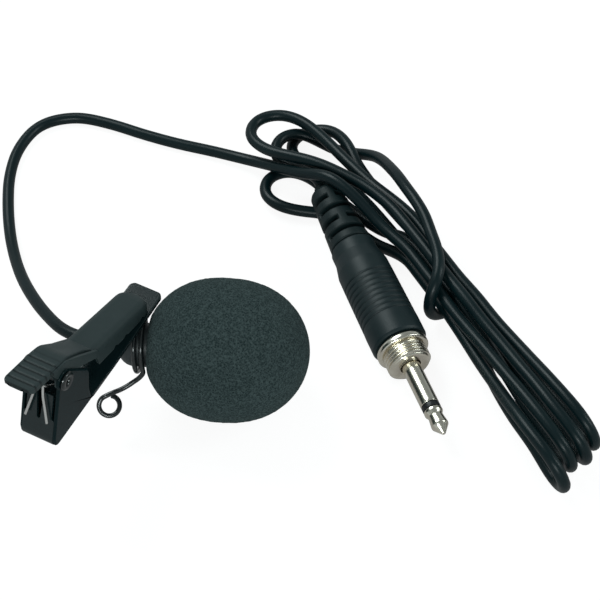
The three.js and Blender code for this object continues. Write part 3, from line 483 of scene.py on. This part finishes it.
# nine grooves, each (x, radius) row of one moved along by the pitch and out by the grip's taper
GROOVES_START, GROOVE_PITCH, GROOVE_TAPER = 25.7, 1.2, 0.015
grip_rings = [(GROOVES_START + x + GROOVE_PITCH * i, radius + GROOVE_TAPER * i) for i in range(9)
              for x, radius in ((0, 5.13), (0.24, 4.9), (0.34, 4.9), (0.44, 5.135))]
grip_material = grained(
    "grip_black", (300.0, 3.0), ((0.0045, 0.0136, 0.0158), (0.0066, 0.0168, 0.019)), (0.42, 0.08),
    (0.00001, 0.3), ramp=(0.3, 0.7), skin=(4600.0, 2.0), Specular_IOR_Level=0.34)
grip = piece("plug_sleeve", [(on_plug(turned([
    (16.6, 2.6), (16.6, 4.2), (16.9, 4.4), (19.2, 4.42), (22.2, 5.05), *grip_rings,
    (37, 5.3), (40.5, 5.3), (41, 5.05), (41, 3.6), (18.3, 3.6), (18.3, 2.6), (16.6, 2.6)], soft=0.09)), True)],
    grip_material, "lock", ("plug_grip",))

nickel_material = grained(
    "nickel_plate", (420.0, 3.0), ((0.88, 0.83, 0.72), (0.74, 0.69, 0.58)), (0.14, 0.14),
    (0.00001, 0.3), ramp=(0.35, 0.7), skin=(9000.0, 2.0), metallic=1.0)

# locking collar: a plain band, then a thread cut as a helix of 0.72 mm pitch
THREAD_START, THREAD_END, PITCH = 42.7, 46.0, 0.72
THREAD_STEPS = 120
thread_x = np.arange(THREAD_START + 0.05, THREAD_END - 0.12, 0.05)
lead_in = smoothstep(thread_x, THREAD_START + 0.05, THREAD_START + 0.25) \
    * (1 - smoothstep(thread_x, THREAD_END - 0.4, THREAD_END - 0.12))
turns = thread_x[:, None] / PITCH - np.arange(THREAD_STEPS)[None] / THREAD_STEPS
ridge = np.abs((turns % 1) * 2 - 1)
thread_r = 3.8 + 0.4 * smoothstep(ridge, 0.2, 0.75) * lead_in[:, None]
before = np.array([(37, 2.0), (37, 3.2), (41.3, 3.2), (41.3, 4.72), (41.36, 4.82), (41.8, 4.95),
                   (42.42, 4.95), (42.55, 4.9), (42.66, 4.7), (42.7, 4.2), (42.72, 3.9)])
after = np.array([(45.9, 3.78), (46, 3.66), (46, 2.05), (45.9, 2.0), (37, 2.0)])
collar_x = np.concatenate([before[:, 0], thread_x, after[:, 0]])
collar_r = np.concatenate([
    np.repeat(before[:, 1:], THREAD_STEPS, 1), thread_r, np.repeat(after[:, 1:], THREAD_STEPS, 1)])
collar = piece("plug_collar", [(on_plug(round_x(collar_x, collar_r)), True)],
               nickel_material, "lock", ("lock_collar",))

shaft = piece("plug_shaft", [(on_plug(turned([
    (34.6, 1.15), (34.6, 2.6), (36, 2.6), (36, 1.75), (55.05, 1.75), (55.05, 1.15), (34.6, 1.15)], 72)), True)],
    nickel_material, "microphone", ("jack_sleeve",))
insulator_material = grained(
    "insulating_black", (900.0, 2.0), ((0.006, 0.0065, 0.007), (0.011, 0.012, 0.013)), (0.35, 0.1),
    (0.00001, 0.3))
insulator = piece("plug_insulator", [(on_plug(turned([
    (36.5, 0.65), (36.5, 1.0), (55.2, 1.0), (55.2, 1.72), (56.1, 1.72), (56.1, 0.65),
    (36.5, 0.65)], 72, 0.05)), True)],
    insulator_material, "microphone", ("jack_insulator",))
tip = piece("plug_tip", [(on_plug(turned([
    (33.5, 0), (33.5, 0.5), (56.25, 0.5), (56.25, 1.72), (56.9, 1.75), (57.5, 1.4), (57.8, 1.4),
    (59.5, 1.62), (59.8, 1.6), (61.5, 0.35), (61.6, 0.2), (61.6, 0)], 72, 0.14)), True)],
    nickel_material, "microphone", ("jack_tip",))

# ---- the microphone ------------------------------------------------------------------------------------
# A small turned housing in satin black with a domed rear, where the cord leaves through a rubber
# grommet. The capsule, its board and the grille are inside, under the windscreen.
def on_mic(points):
    """From millimetres along the microphone to the frame, in metres."""
    return (points + MIC_RING - ORIGIN) * MM


satin_material = grained(
    "satin_housing", (500.0, 3.0), ((0.017, 0.023, 0.025), (0.023, 0.03, 0.032)), (0.4, 0.12),
    (0.00002, 0.5), ramp=(0.3, 0.7), skin=(6000.0, 3.0))
piece("housing", [(on_mic(turned([
    (-2, 1.9), (-3.6, 1.9), (-3.55, 2.4), (-3.3, 2.85), (-2.85, 3.3), (-2.2, 3.72), (-1.2, 4), (11.5, 4),
    (11.5, 3.5), (-0.6, 3.5), (-1.4, 3), (-2, 1.9)])), True)],
    satin_material, "microphone", ("mic_housing",))
rubber_material = grained(
    "soft_rubber", (800.0, 3.0), ((0.008, 0.009, 0.01), (0.014, 0.016, 0.017)), (0.72, 0.12), (0.00003, 0.4))
piece("grommet", [(on_mic(turned([
    (-0.6, 0.8), (-5, 0.8), (-5, 1.35), (-4, 1.6), (-1.7, 1.6), (-1.4, 2.3), (-0.6, 2.3),
    (-0.6, 0.8)], 48)), True)],
    rubber_material, "microphone", ("cord_grommet",))

# ---- the windscreen ------------------------------------------------------------------------------------
# An egg of fine open-celled foam, ground round, with a bore that slips over the housing. Its surface is
# all cell edges: pits of 0.2 to 0.5 mm that catch a little light between dark gaps.
FOAM_R, FOAM_START, FOAM_LENGTH, FOAM_RIM_R = 13.0, 1.75, 28.6, 5.6
FOAM_WIDEST = 0.47  # share of the length at which the egg is widest
REAR_POWER, FRONT_POWER = 2.3, 2.25
FOAM_BORE_R, BORE_END = 4.3, 15.1
FOAM_STEPS, BORE_ROWS, LIP_ROWS = 360, 40, 6
SKIN_INSET, GRAIN_DEPTH, GRAIN_CELL = 0.05, 0.07, 0.45
foam_t = 0.5 - 0.5 * np.cos(pi * np.linspace(0, 1, 190))
rising = 1 - (1 - (FOAM_RIM_R / FOAM_R) ** 2) * np.clip(1 - foam_t / FOAM_WIDEST, 0, 1) ** REAR_POWER
falling = 1 - np.clip((foam_t - FOAM_WIDEST) / (1 - FOAM_WIDEST), 0, 1) ** FRONT_POWER
foam_r = FOAM_R * np.sqrt(np.where(foam_t < FOAM_WIDEST, rising, falling))
rng = np.random.default_rng(7)


def grains(points, cell):
    """Random heights from -1 to 1 on a cubic lattice of that cell, read between its corners."""
    lattice = np.clip(rng.standard_normal((64, 64, 64)) / 2, -1, 1)
    low = np.floor(points / cell).astype(int)
    t = points / cell - low
    t = t * t * (3 - 2 * t)
    height = 0
    for corner in np.ndindex(2, 2, 2):
        weight = np.prod(np.where(corner, t, 1 - t), axis=-1)
        height = height + weight * lattice[tuple(np.moveaxis((low + corner) % 64, -1, 0))]
    return height


# the grain fades out where the skin closes at the front
calm = np.minimum(foam_r / 3, 1)[:, None]
foam_x = FOAM_START + FOAM_LENGTH * foam_t
foam_skin = round_x(foam_x, np.repeat(foam_r[:, None], FOAM_STEPS, 1))
foam_radius = np.maximum(
    foam_r[:, None] - SKIN_INSET + GRAIN_DEPTH * grains(foam_skin, GRAIN_CELL) * calm, 0)
foam_radius[-1] = 0
bore_x = np.linspace(FOAM_START, BORE_END, BORE_ROWS)[::-1]
lip = np.linspace(FOAM_BORE_R, FOAM_RIM_R - 0.1, LIP_ROWS + 2)[1:-1]
all_x = np.concatenate([[BORE_END], bore_x, np.full(LIP_ROWS, FOAM_START), foam_x])
all_r = np.concatenate([
    np.zeros((1, FOAM_STEPS)), np.full((BORE_ROWS, FOAM_STEPS), FOAM_BORE_R),
    np.repeat(lip[:, None], FOAM_STEPS, 1), foam_radius])
foam = Shader(bpy.data.materials.new("windscreen_foam"))
where = foam.place()
cells = foam.node(
    "ShaderNodeTexVoronoi", {"feature": "F1", "voronoi_dimensions": "3D"},
    {"Vector": where, "Scale": 2900.0, "Randomness": 1.0}, output="Distance")
fuzz = foam.noise(where, 3400.0, 2.0, 0.7)
patch = foam.noise(where, 900.0, 2.0)
pits = (cells.between(0.15, 0.75) * 0.6 + fuzz.between(0.3, 0.72) * 0.4)
foam_colour = foam.mixed(
    pits * 0.85 + patch.between(0.3, 0.7) * 0.15, (0.001, 0.009, 0.0095), (0.064, 0.089, 0.089))
foam_material = finish(
    foam, foam_colour, 0.95, foam.bump(pits, 0.00022, 0.9),
    Sheen_Weight=0.03, Sheen_Roughness=0.6, Sheen_Tint=(0.5, 0.62, 0.62), Specular_IOR_Level=0.1)
windscreen = piece("foam_windscreen", [(on_mic(round_x(all_x, all_r)), True)],
                   foam_material, "windscreen", ("windscreen",))

# ---- the clip's base -----------------------------------------------------------------------------------
# Stamped from 0.7 mm steel and dipped in gloss black enamel: a long plate whose tail is bent up into an
# end wall with a V slot, and an ear folded up on each side to hold the pivot.
CLIP_TAIL = np.array([-20.5, -17.75, 18.7])
CLIP_YAW = radians(67.4)
CLIP_TURN = np.array([[cos(CLIP_YAW), -sin(CLIP_YAW), 0], [sin(CLIP_YAW), cos(CLIP_YAW), 0], [0, 0, 1]])
PIVOT = np.array([6.1, 13.0])


def on_clip(points):
    """From millimetres along the clip's plate, across it and up from it to the frame, in metres."""
    return (np.asarray(points, float) @ CLIP_TURN.T + CLIP_TAIL - ORIGIN) * MM


enamel = Shader(bpy.data.materials.new("black_enamel"))
where = enamel.place()
ripple = enamel.noise(where, 450.0, 2.0)
dust = enamel.noise(where, 2600.0, 3.0)
enamel_material = finish(
    enamel,
    enamel.mixed(ripple, (0.003, 0.0105, 0.012), (0.006, 0.0145, 0.016)),
    0.19 + dust.between(0.45, 0.8) * 0.08,
    enamel.bump(ripple, 0.00003, 0.2),
    IOR=1.5)
# painted shade: the ears get a copy of the plate's enamel with most of its reflection taken out, so they render
# darker than the plate and wall of the same sheet
ear_shaded_enamel = grained(
    "ear_enamel_shaded_copy", (450.0, 2.0), ((0.0038, 0.0115, 0.0132), (0.0055, 0.014, 0.0157)), (0.16, 0.06),
    (0.00003, 0.2), Specular_IOR_Level=0.08)
lever_shader = Shader(bpy.data.materials.new("lever_enamel"))
where = lever_shader.place()
ripple = lever_shader.noise(where, 450.0, 2.0)
# painted shade: the pad's grooves are darkened in the colour as they would be in shadow, in bands across the
# clip, PAD_PITCH apart, above the cheeks
PAD_PITCH, PAD_SHIFT = 1.45, 0.45
along_clip = lever_shader.node("ShaderNodeVectorMath", {"operation": "DOT_PRODUCT"}, {
    0: where, 1: tuple(CLIP_TURN[:, 0])}, output="Value")
tail_along = (CLIP_TAIL - ORIGIN).dot(CLIP_TURN[:, 0]) * MM
bands = ((along_clip - (tail_along - PAD_SHIFT * MM)) * (2 * pi / (PAD_PITCH * MM))).cosine()
high = lever_shader.node("ShaderNodeSeparateXYZ", {}, {0: where}, output="Z").between(0.0352, 0.0357)
painted_groove_shade = bands.between(0.3, 0.95) * high
# the lever's colour is lighter than the plate's enamel: partly its own duller satin enamel, partly a painted
# reflection of the overhead light on the jaw's top and the pad
lever_material = finish(
    lever_shader,
    lever_shader.mixed(painted_groove_shade * 0.85, lever_shader.mixed(ripple, (0.022, 0.034, 0.035), (0.028, 0.041, 0.042)),
               (0.002, 0.006, 0.0068)),
    0.42 + ripple * 0.08,
    lever_shader.bump(ripple, 0.00002, 0.2), Specular_IOR_Level=0.22)


def sheet_metal(made, thickness, edge):
    """Gives a surface its thickness, inward of its faces, and rounds its cut edges."""
    solidify = made.modifiers.new("sheet", "SOLIDIFY")
    solidify.thickness = thickness * MM
    solidify.offset = -1.0
    solidify.use_even_offset = False
    bevel = made.modifiers.new("edges", "BEVEL")
    bevel.width = edge * MM
    bevel.segments = 3
    bevel.limit_method = "ANGLE"
    bevel.angle_limit = radians(50)
    bevel.harden_normals = False


def polyline(points, step):
    """Points along straight runs, a step apart."""
    p = np.array(points, float)
    along = np.concatenate([[0], np.cumsum(np.linalg.norm(np.diff(p, axis=0), axis=1))])
    even = np.linspace(0, along[-1], max(2, int(round(along[-1] / step)) + 1))
    return np.stack([np.interp(even, along, p[:, k]) for k in range(p.shape[1])], axis=1)


# plate and end wall: one strip from the wall's top, round the bend, to the plate's tip
WALL_LEAN, WALL_TOP, WALL_FOOT, PLATE_END = 0.344, 10.75, 2.4, 37
BETWEEN_EARS, STEP_OUT, PLATE_HALF, TAPER_START = 3.0, 12.5, 3.5, 20  # half widths, and where they change
TIP_HALF, TIP_CORNER, TIP_START = 3.25, 1.1, 35.9
SLOT_FOOT, SLOT_HALF, SLOT_FLARE = 5.3, 0.3, 0.068
wall_line = polyline([(WALL_LEAN * z, z) for z in (WALL_TOP, WALL_FOOT)], 0.25)
bend_start, bend_end = np.array([0.757, 2.2]), np.array([2.6, 0.0])
bend = [(1 - t) ** 2 * bend_start + t**2 * bend_end for t in np.linspace(0, 1, 9)]
strip_line = np.vstack([
    wall_line, bend, polyline([(2.8, 0), (PLATE_END, 0)], 0.3)[:-1],
    np.array([(PLATE_END - short, 0.0) for short in (0.2, 0.12, 0.06, 0.02, 0.0)])])
strip_x, strip_z = strip_line[:, 0], strip_line[:, 1]
on_wall = np.arange(len(strip_line)) <= len(wall_line)
half = np.where(on_wall, BETWEEN_EARS - 0.55 * smoothstep(strip_z, 5.7, 6.1), BETWEEN_EARS)
half = np.where(~on_wall & (strip_x > STEP_OUT), PLATE_HALF, half)
taper = np.interp(strip_x, [TAPER_START, TIP_START], [PLATE_HALF, TIP_HALF])
half = np.where(~on_wall & (strip_x > TAPER_START), taper, half)
corner = np.clip((strip_x - TIP_START) / TIP_CORNER, 0, 1)
rounded = TIP_HALF - TIP_CORNER * (1 - np.sqrt(1 - corner**2))
half = np.where(~on_wall & (strip_x > TIP_START), rounded, half)
slot = np.where(on_wall & (strip_z > SLOT_FOOT), SLOT_HALF + (strip_z - SLOT_FOOT) * SLOT_FLARE, 0.0)


def strip(side):
    """One half of the strip, from the middle or the slot's edge out to the sheet's edge."""
    v = np.linspace(0, 1, 9)[None]
    y = side * (slot[:, None] + (half - slot)[:, None] * v)
    x, z = (np.broadcast_to(line[:, None], y.shape) for line in (strip_x, strip_z))
    return np.stack([x, y, z], -1)


clip_base = piece("clip_plate", [(on_clip(strip(1)), False), (on_clip(strip(-1)), False)],
                  enamel_material, "clip", ("clip_base",))
sheet_metal(clip_base, 0.7, 0.24)


# ears: flat slabs flush with the wall's outer face and the plate's edges
def slab(outline, middle, outer, inner):
    """A closed plate from y = outer to y = inner, its edge a quarter circle of 0.3 and one of 0.1 mm."""
    def level(points, y):
        return np.stack([points[:, 0], np.full(len(points), y), points[:, 1]], 1)

    along = np.roll(outline, -1, 0) - np.roll(outline, 1, 0)
    outward = np.stack([along[:, 1], -along[:, 0]], 1) / np.linalg.norm(along, axis=1)[:, None]
    outward *= np.sign(np.sum(outward * (outline - middle)))
    turns = np.linspace(0, pi / 2, 6)
    rows = []
    for face, back, soft in ((outer, inner, 0.3), (inner, outer, 0.1)):
        edge = [(1.12 * soft, face)] + [
            (soft * (1 - sin(t)), face + np.sign(back - face) * soft * (1 - cos(t))) for t in turns]
        rows += edge if face == outer else edge[::-1]
    centre = np.broadcast_to(middle, outline.shape)
    edges = [level(outline - outward * inset, y) for inset, y in rows]
    return np.array([level(centre, outer), *edges, level(centre, inner)])


def round_pivot(radius, degrees):
    """Points of a circle round the pivot, as [x, z] along and up from the plate."""
    angle = np.radians(degrees)
    return np.stack([PIVOT[0] + radius * np.cos(angle), PIVOT[1] + radius * np.sin(angle)], 1)


ear_top = round_pivot(1.95, np.linspace(199, 54, 24))
ear_outline = np.vstack([
    polyline([(12.75, 0.02), (1.9, 0.02), (1.37, 0.1), (0.98, 0.37), (0.79, 0.8), (0.81, 2.2),
              tuple(ear_top[0])], 0.3)[:-1],
    ear_top,
    polyline([(7.25, 14.58), (11.6, 9.4), (12.3, 8.7), (12.62, 7.9), (12.6, 7), (12.0, 3.4), (12.2, 1.0),
              (12.75, 0.02)], 0.3)[1:-1]])
EAR_MIDDLE, EAR_OUTER, EAR_INNER = (6.5, 6), 3.5, 2.9
piece("clip_ears", [
    (on_clip(slab(ear_outline, EAR_MIDDLE, side * EAR_OUTER, side * EAR_INNER)), True) for side in (-1, 1)],
    ear_shaded_enamel, "clip")

# ---- the clip's lever ----------------------------------------------------------------------------------
# A second stamping, its enamel duller: a channel-shaped jaw with a toothed edge, a narrow neck, two
# cheeks that turn on the pivot and a thumb pad with five pressed grooves.
def channel(x, z_top, half_width, radius, z_low):
    """A sheet with a flat top, rounded shoulders and sides down to z_low, at each station x."""
    angle = np.linspace(0, pi / 2, 7)
    rows = []
    for station, top, wide, round_r, foot in zip(x, z_top, half_width, radius, z_low):
        shoulder_y = wide - round_r + round_r * np.sin(angle)
        shoulder_z = top - round_r + round_r * np.cos(angle)
        side_z = np.linspace(top - round_r, foot, 10)
        right_y = np.concatenate([np.linspace(0, wide - round_r, 10)[:-1], shoulder_y, np.full(9, wide)])
        right_z = np.concatenate([np.full(9, top), shoulder_z, side_z[1:]])
        y = np.concatenate([-right_y[::-1], right_y[1:]])
        z = np.concatenate([right_z[::-1], right_z[1:]])
        rows.append(np.stack([np.full(len(y), station), y, z], -1))
    return np.array(rows)


JAW_SLOPE = (9.3 - 3.38) / (33.2 - 15.5)
jaw_x = np.concatenate([np.arange(15.4, 30.2, 0.15), 30.3 + 3.0 * np.sin(np.linspace(0, pi / 2, 26))])
jaw_top = 9.3 - (jaw_x - 15.5) * JAW_SLOPE - 0.4 * np.clip((jaw_x - 31.3) / 2, 0, 1) ** 2
jaw_low = np.interp(
    jaw_x,
    [15.4, 15.9, 16.3, 20.7, 21.5, 22.3, 24, 24.8, 25.6, 29.4, 30.2, 30.9, 32.9, 33.3],
    [7.2, 7.0, 4.6, 3.45, 3.8, 3.1, 2.65, 2.95, 2.3, 1.4, 1.75, 1.0, 1.0, 1.3])
nose = np.clip((jaw_x - 30.3) / 3.0, 0, 1)
jaw_half = 3.0 * np.maximum(1 - nose**3.2, 0) ** (1 / 3.2)
jaw_radius = np.minimum(1.3, jaw_half)
jaw = channel(jaw_x, jaw_top, np.maximum(jaw_half, 0.001), np.maximum(jaw_radius * 0.98, 0.0005), jaw_low)

neck_line = smooth_route([
    (-2.0, 0, 19.2), (1.5, 0, 18.2), (5.0, 0, 17.22), (7.0, 0, 16.62), (8.4, 0, 16.0), (10.2, 0, 14.45),
    (12.2, 0, 12.55), (14.2, 0, 10.62), (15.8, 0, 9.15), (17.0, 0, 8.35)], 0.1)
neck_x, neck_z = neck_line[:, 0], neck_line[:, 2]
rear = np.clip((-0.5 - neck_x) / 1.5, 0, 1)
neck_half = np.interp(neck_x, [-2, 6, 8.5, 11.5, 14, 15.6, 17], [2.8, 2.8, 2.7, 2.35, 2.0, 2.25, 2.35])
neck_half = neck_half - 1.3 * (1 - np.sqrt(np.maximum(1 - rear**2, 0)))
PAD_MIDDLE, PAD_REACH, GROOVE_DEPTH = 2.45, 3.6, 0.13
groove = (0.5 + 0.5 * np.cos(2 * pi * (neck_x + PAD_SHIFT) / PAD_PITCH)) ** 2
groove = groove * (np.abs(neck_x - PAD_MIDDLE) < PAD_REACH)
neck_side = np.interp(neck_x, [-2, -1.2, 6, 8.5, 11, 17], [0.25, 0.9, 1.1, 0.8, 0.45, 0.4])
neck = channel(neck_x, neck_z, neck_half, np.full(len(neck_x), 0.35), neck_z - 0.35 - neck_side)
middle = 1 - smoothstep(np.abs(neck[..., 1]), 2.15, 2.4)
neck[..., 2] -= GROOVE_DEPTH * groove[:, None] * middle
# a shallow dent along the middle of the neck
dent = np.exp(-((neck_x - 10.6) / 2.0) ** 2)[:, None] * np.exp(-(neck[..., 1] / 1.1) ** 2)
neck[..., 2] -= 0.15 * dent

cheek_low = np.vstack([
    polyline([(3.6, 17.2), (4.9, 14.34)], 0.3)[:-1], round_pivot(1.8, np.linspace(132, 308, 30)),
    polyline([(7.2, 11.58), (11.6, 10.2), (16.2, 6.9)], 0.3)[1:]])
cheek_share = np.linspace(0, 1, len(cheek_low))
cheek_top = np.stack([
    np.interp(cheek_share, [0, 0.3, 0.7, 1], [3.7, 7.8, 12.0, 16.2]),
    np.interp(cheek_share, [0, 0.3, 0.7, 1], [17.3, 16.0, 12.4, 8.7])], 1)
rise = np.linspace(0, 1, 16)[None, :, None]
cheek_flat = cheek_low[:, None] * (1 - rise) + cheek_top[:, None] * rise
lever_sheets = [(on_clip(jaw), False), (on_clip(neck), False)]
for side in (-1, 1):
    grid = np.stack([cheek_flat[..., 0], np.full(cheek_flat.shape[:2], side * 2.6), cheek_flat[..., 1]], -1)
    lever_sheets.append((on_clip(grid if side > 0 else grid[::-1]), False))
clip_lever = piece("clip_lever_sheet", lever_sheets, lever_material, "lever", ("clip_lever",))
sheet_metal(clip_lever, 0.55, 0.13)

# ---- pivot, spring and wire holder ---------------------------------------------------------------------
# The pivot is a blackened tube rivet. The spring is bright round wire with two coils on the pivot, and
# its legs press on the end wall. The holder is thick blackened wire, bent round the housing.
pivot = turned([
    (-4, 0.6), (-4.2, 0.8), (-4.25, 1.3), (-4.1, 1.65), (-3.8, 1.8), (-3.8, 0.95), (3.8, 0.95), (3.8, 1.8),
    (4.1, 1.65), (4.25, 1.3), (4.2, 0.8), (4, 0.6), (3.5, 0.5), (-3.5, 0.5), (-4, 0.6)], 48, 0.1)
pivot = pivot[..., [1, 0, 2]] + np.array([PIVOT[0], 0, PIVOT[1]])

SPRING_WIRE_R, COIL_R = 0.245, 1.75
BRIDGE = np.array([PIVOT[0] - 3.6, PIVOT[1] + 1.85])
LEG_TOP = np.array([3.12, 10.95])


def leaves_coil(target, side):
    """The angle on the coil where a straight run to target touches it."""
    away = target - PIVOT
    return np.arctan2(away[1], away[0]) + side * np.arccos(COIL_R / np.hypot(*away))


def spring_half(side):
    """From a leg's foot over the wall's top, round the coil and up to the bridge under the pad."""
    leg_angle, bridge_angle = leaves_coil(LEG_TOP, -1), leaves_coil(BRIDGE, 1)
    sweep = (leg_angle - bridge_angle + 4 * pi) % (2 * pi)
    share = np.linspace(0, 1, 15)
    turn_by = leg_angle - sweep * share
    coil = np.stack([PIVOT[0] + COIL_R * np.cos(turn_by), side * (0.55 + share),
                     PIVOT[1] + COIL_R * np.sin(turn_by)], 1)
    return np.vstack([
        [1.25, side * 2.1, 5.8], [2.2, side * 1.46, 8.4], [LEG_TOP[0], side * 0.85, LEG_TOP[1]], coil,
        [BRIDGE[0] + 0.3, side * 1.55, BRIDGE[1] - 0.55], [BRIDGE[0], side * 1.2, BRIDGE[1]]])


spring_material = grained(
    "spring_steel", (1500.0, 2.0), ((0.84, 0.84, 0.82), (0.68, 0.68, 0.66)), (0.16, 0.14), (0.00001, 0.3),
    metallic=1.0)
spring_path = np.vstack([spring_half(-1), spring_half(1)[::-1]])
piece("clip_spring_wire", [(on_clip(swept(smooth_route(spring_path, 0.15), SPRING_WIRE_R, 12)), True)],
      spring_material, "clip", ("clip_spring",))

WIRE_R, RING_R, EYE_R = 0.45, 4.85, 1.8
STUB = CLIP_TURN @ np.array([30.5, -0.6, 0]) + CLIP_TAIL
EYE = np.array([-11.64, -1.2, 7.0])
ring_turns = 1.27 * np.arange(22) / 21
ring_angle = radians(95) + 2 * pi * ring_turns
ring = np.stack([MIC_RING[0] - 0.8 + 1.32 * ring_turns, MIC_RING[1] + RING_R * np.cos(ring_angle),
                 MIC_RING[2] + RING_R * np.sin(ring_angle)], 1)
eye_turns = 0.92 * np.arange(15) / 14
eye_angle, eye_drop = radians(113) + 2 * pi * eye_turns, 0.45 - 1.65 * eye_turns
tilt = radians(35)
eye = EYE + np.stack([
    EYE_R * np.cos(eye_angle), EYE_R * np.sin(eye_angle) * cos(tilt) - eye_drop * sin(tilt),
    EYE_R * np.sin(eye_angle) * sin(tilt) + eye_drop * cos(tilt)], 1)
holder_path = np.vstack([
    [STUB[0], STUB[1], 20.5], [STUB[0], STUB[1], 19.2], [STUB[0], STUB[1], 18.75],
    [STUB[0] + 0.06, STUB[1] - 0.2, 18.28], [STUB[0] + 0.2, STUB[1] - 0.68, 17.95],
    [STUB[0] + 0.42, STUB[1] - 1.4, 17.86], ring,
    [-5.95, 3.55, 10.95], [-6.6, 3.15, 10.1], [-7.7, 2.6, 9.35], [-8.8, 1.95, 8.85], [-9.95, 1.3, 8.55],
    [-11.15, 0.6, 8.5], eye])
wire_material = grained(
    "blackened_wire", (1300.0, 2.0), ((0.005, 0.0075, 0.008), (0.012, 0.016, 0.017)), (0.14, 0.12),
    (0.00001, 0.3), IOR=1.6)
piece("clip_rivet", [(on_clip(pivot), True)], wire_material, "clip", ("clip_pivot",))
piece(
    "holder_wire", [((swept(smooth_route(holder_path, 0.2), WIRE_R, 16) - ORIGIN) * MM, True)],
    wire_material, "clip", ("wire_holder",))

# ---- the pieces inside -----------------------------------------------------------------------------------
# The capsule, its board and sleeve, the grille and the plug's lugs keep the solids of the frame. They
# show only where the windscreen or a cover is off, in drawn aluminium, brass, rubber and board green.
can_material = grained(
    "drawn_aluminium", (1800.0, 2.0), ((0.55, 0.56, 0.57), (0.42, 0.43, 0.44)), (0.28, 0.14), (0.00001, 0.3),
    metallic=1.0)
lug_material = grained(
    "tinned_brass", (1800.0, 2.0), ((0.5, 0.37, 0.12), (0.38, 0.28, 0.09)), (0.26, 0.16), (0.00001, 0.3),
    metallic=1.0)
board_material = grained(
    "solder_mask", (2600.0, 2.0), ((0.02, 0.085, 0.033), (0.034, 0.12, 0.048)), (0.4, 0.15), (0.00002, 0.3))
for name, material in {
    "lead_core": insulator_material, "capsule_board": board_material, "capsule_can": can_material,
    "capsule_sleeve": rubber_material, "acoustic_mesh": rubber_material, "grille_cap": satin_material,
    "holder_washer": spring_material, "plug_core": insulator_material, "tip_lug": lug_material,
    "sleeve_lug": lug_material,
}.items():
    node_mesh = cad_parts[name].data
    node_mesh.materials.clear()
    node_mesh.materials.append(material)
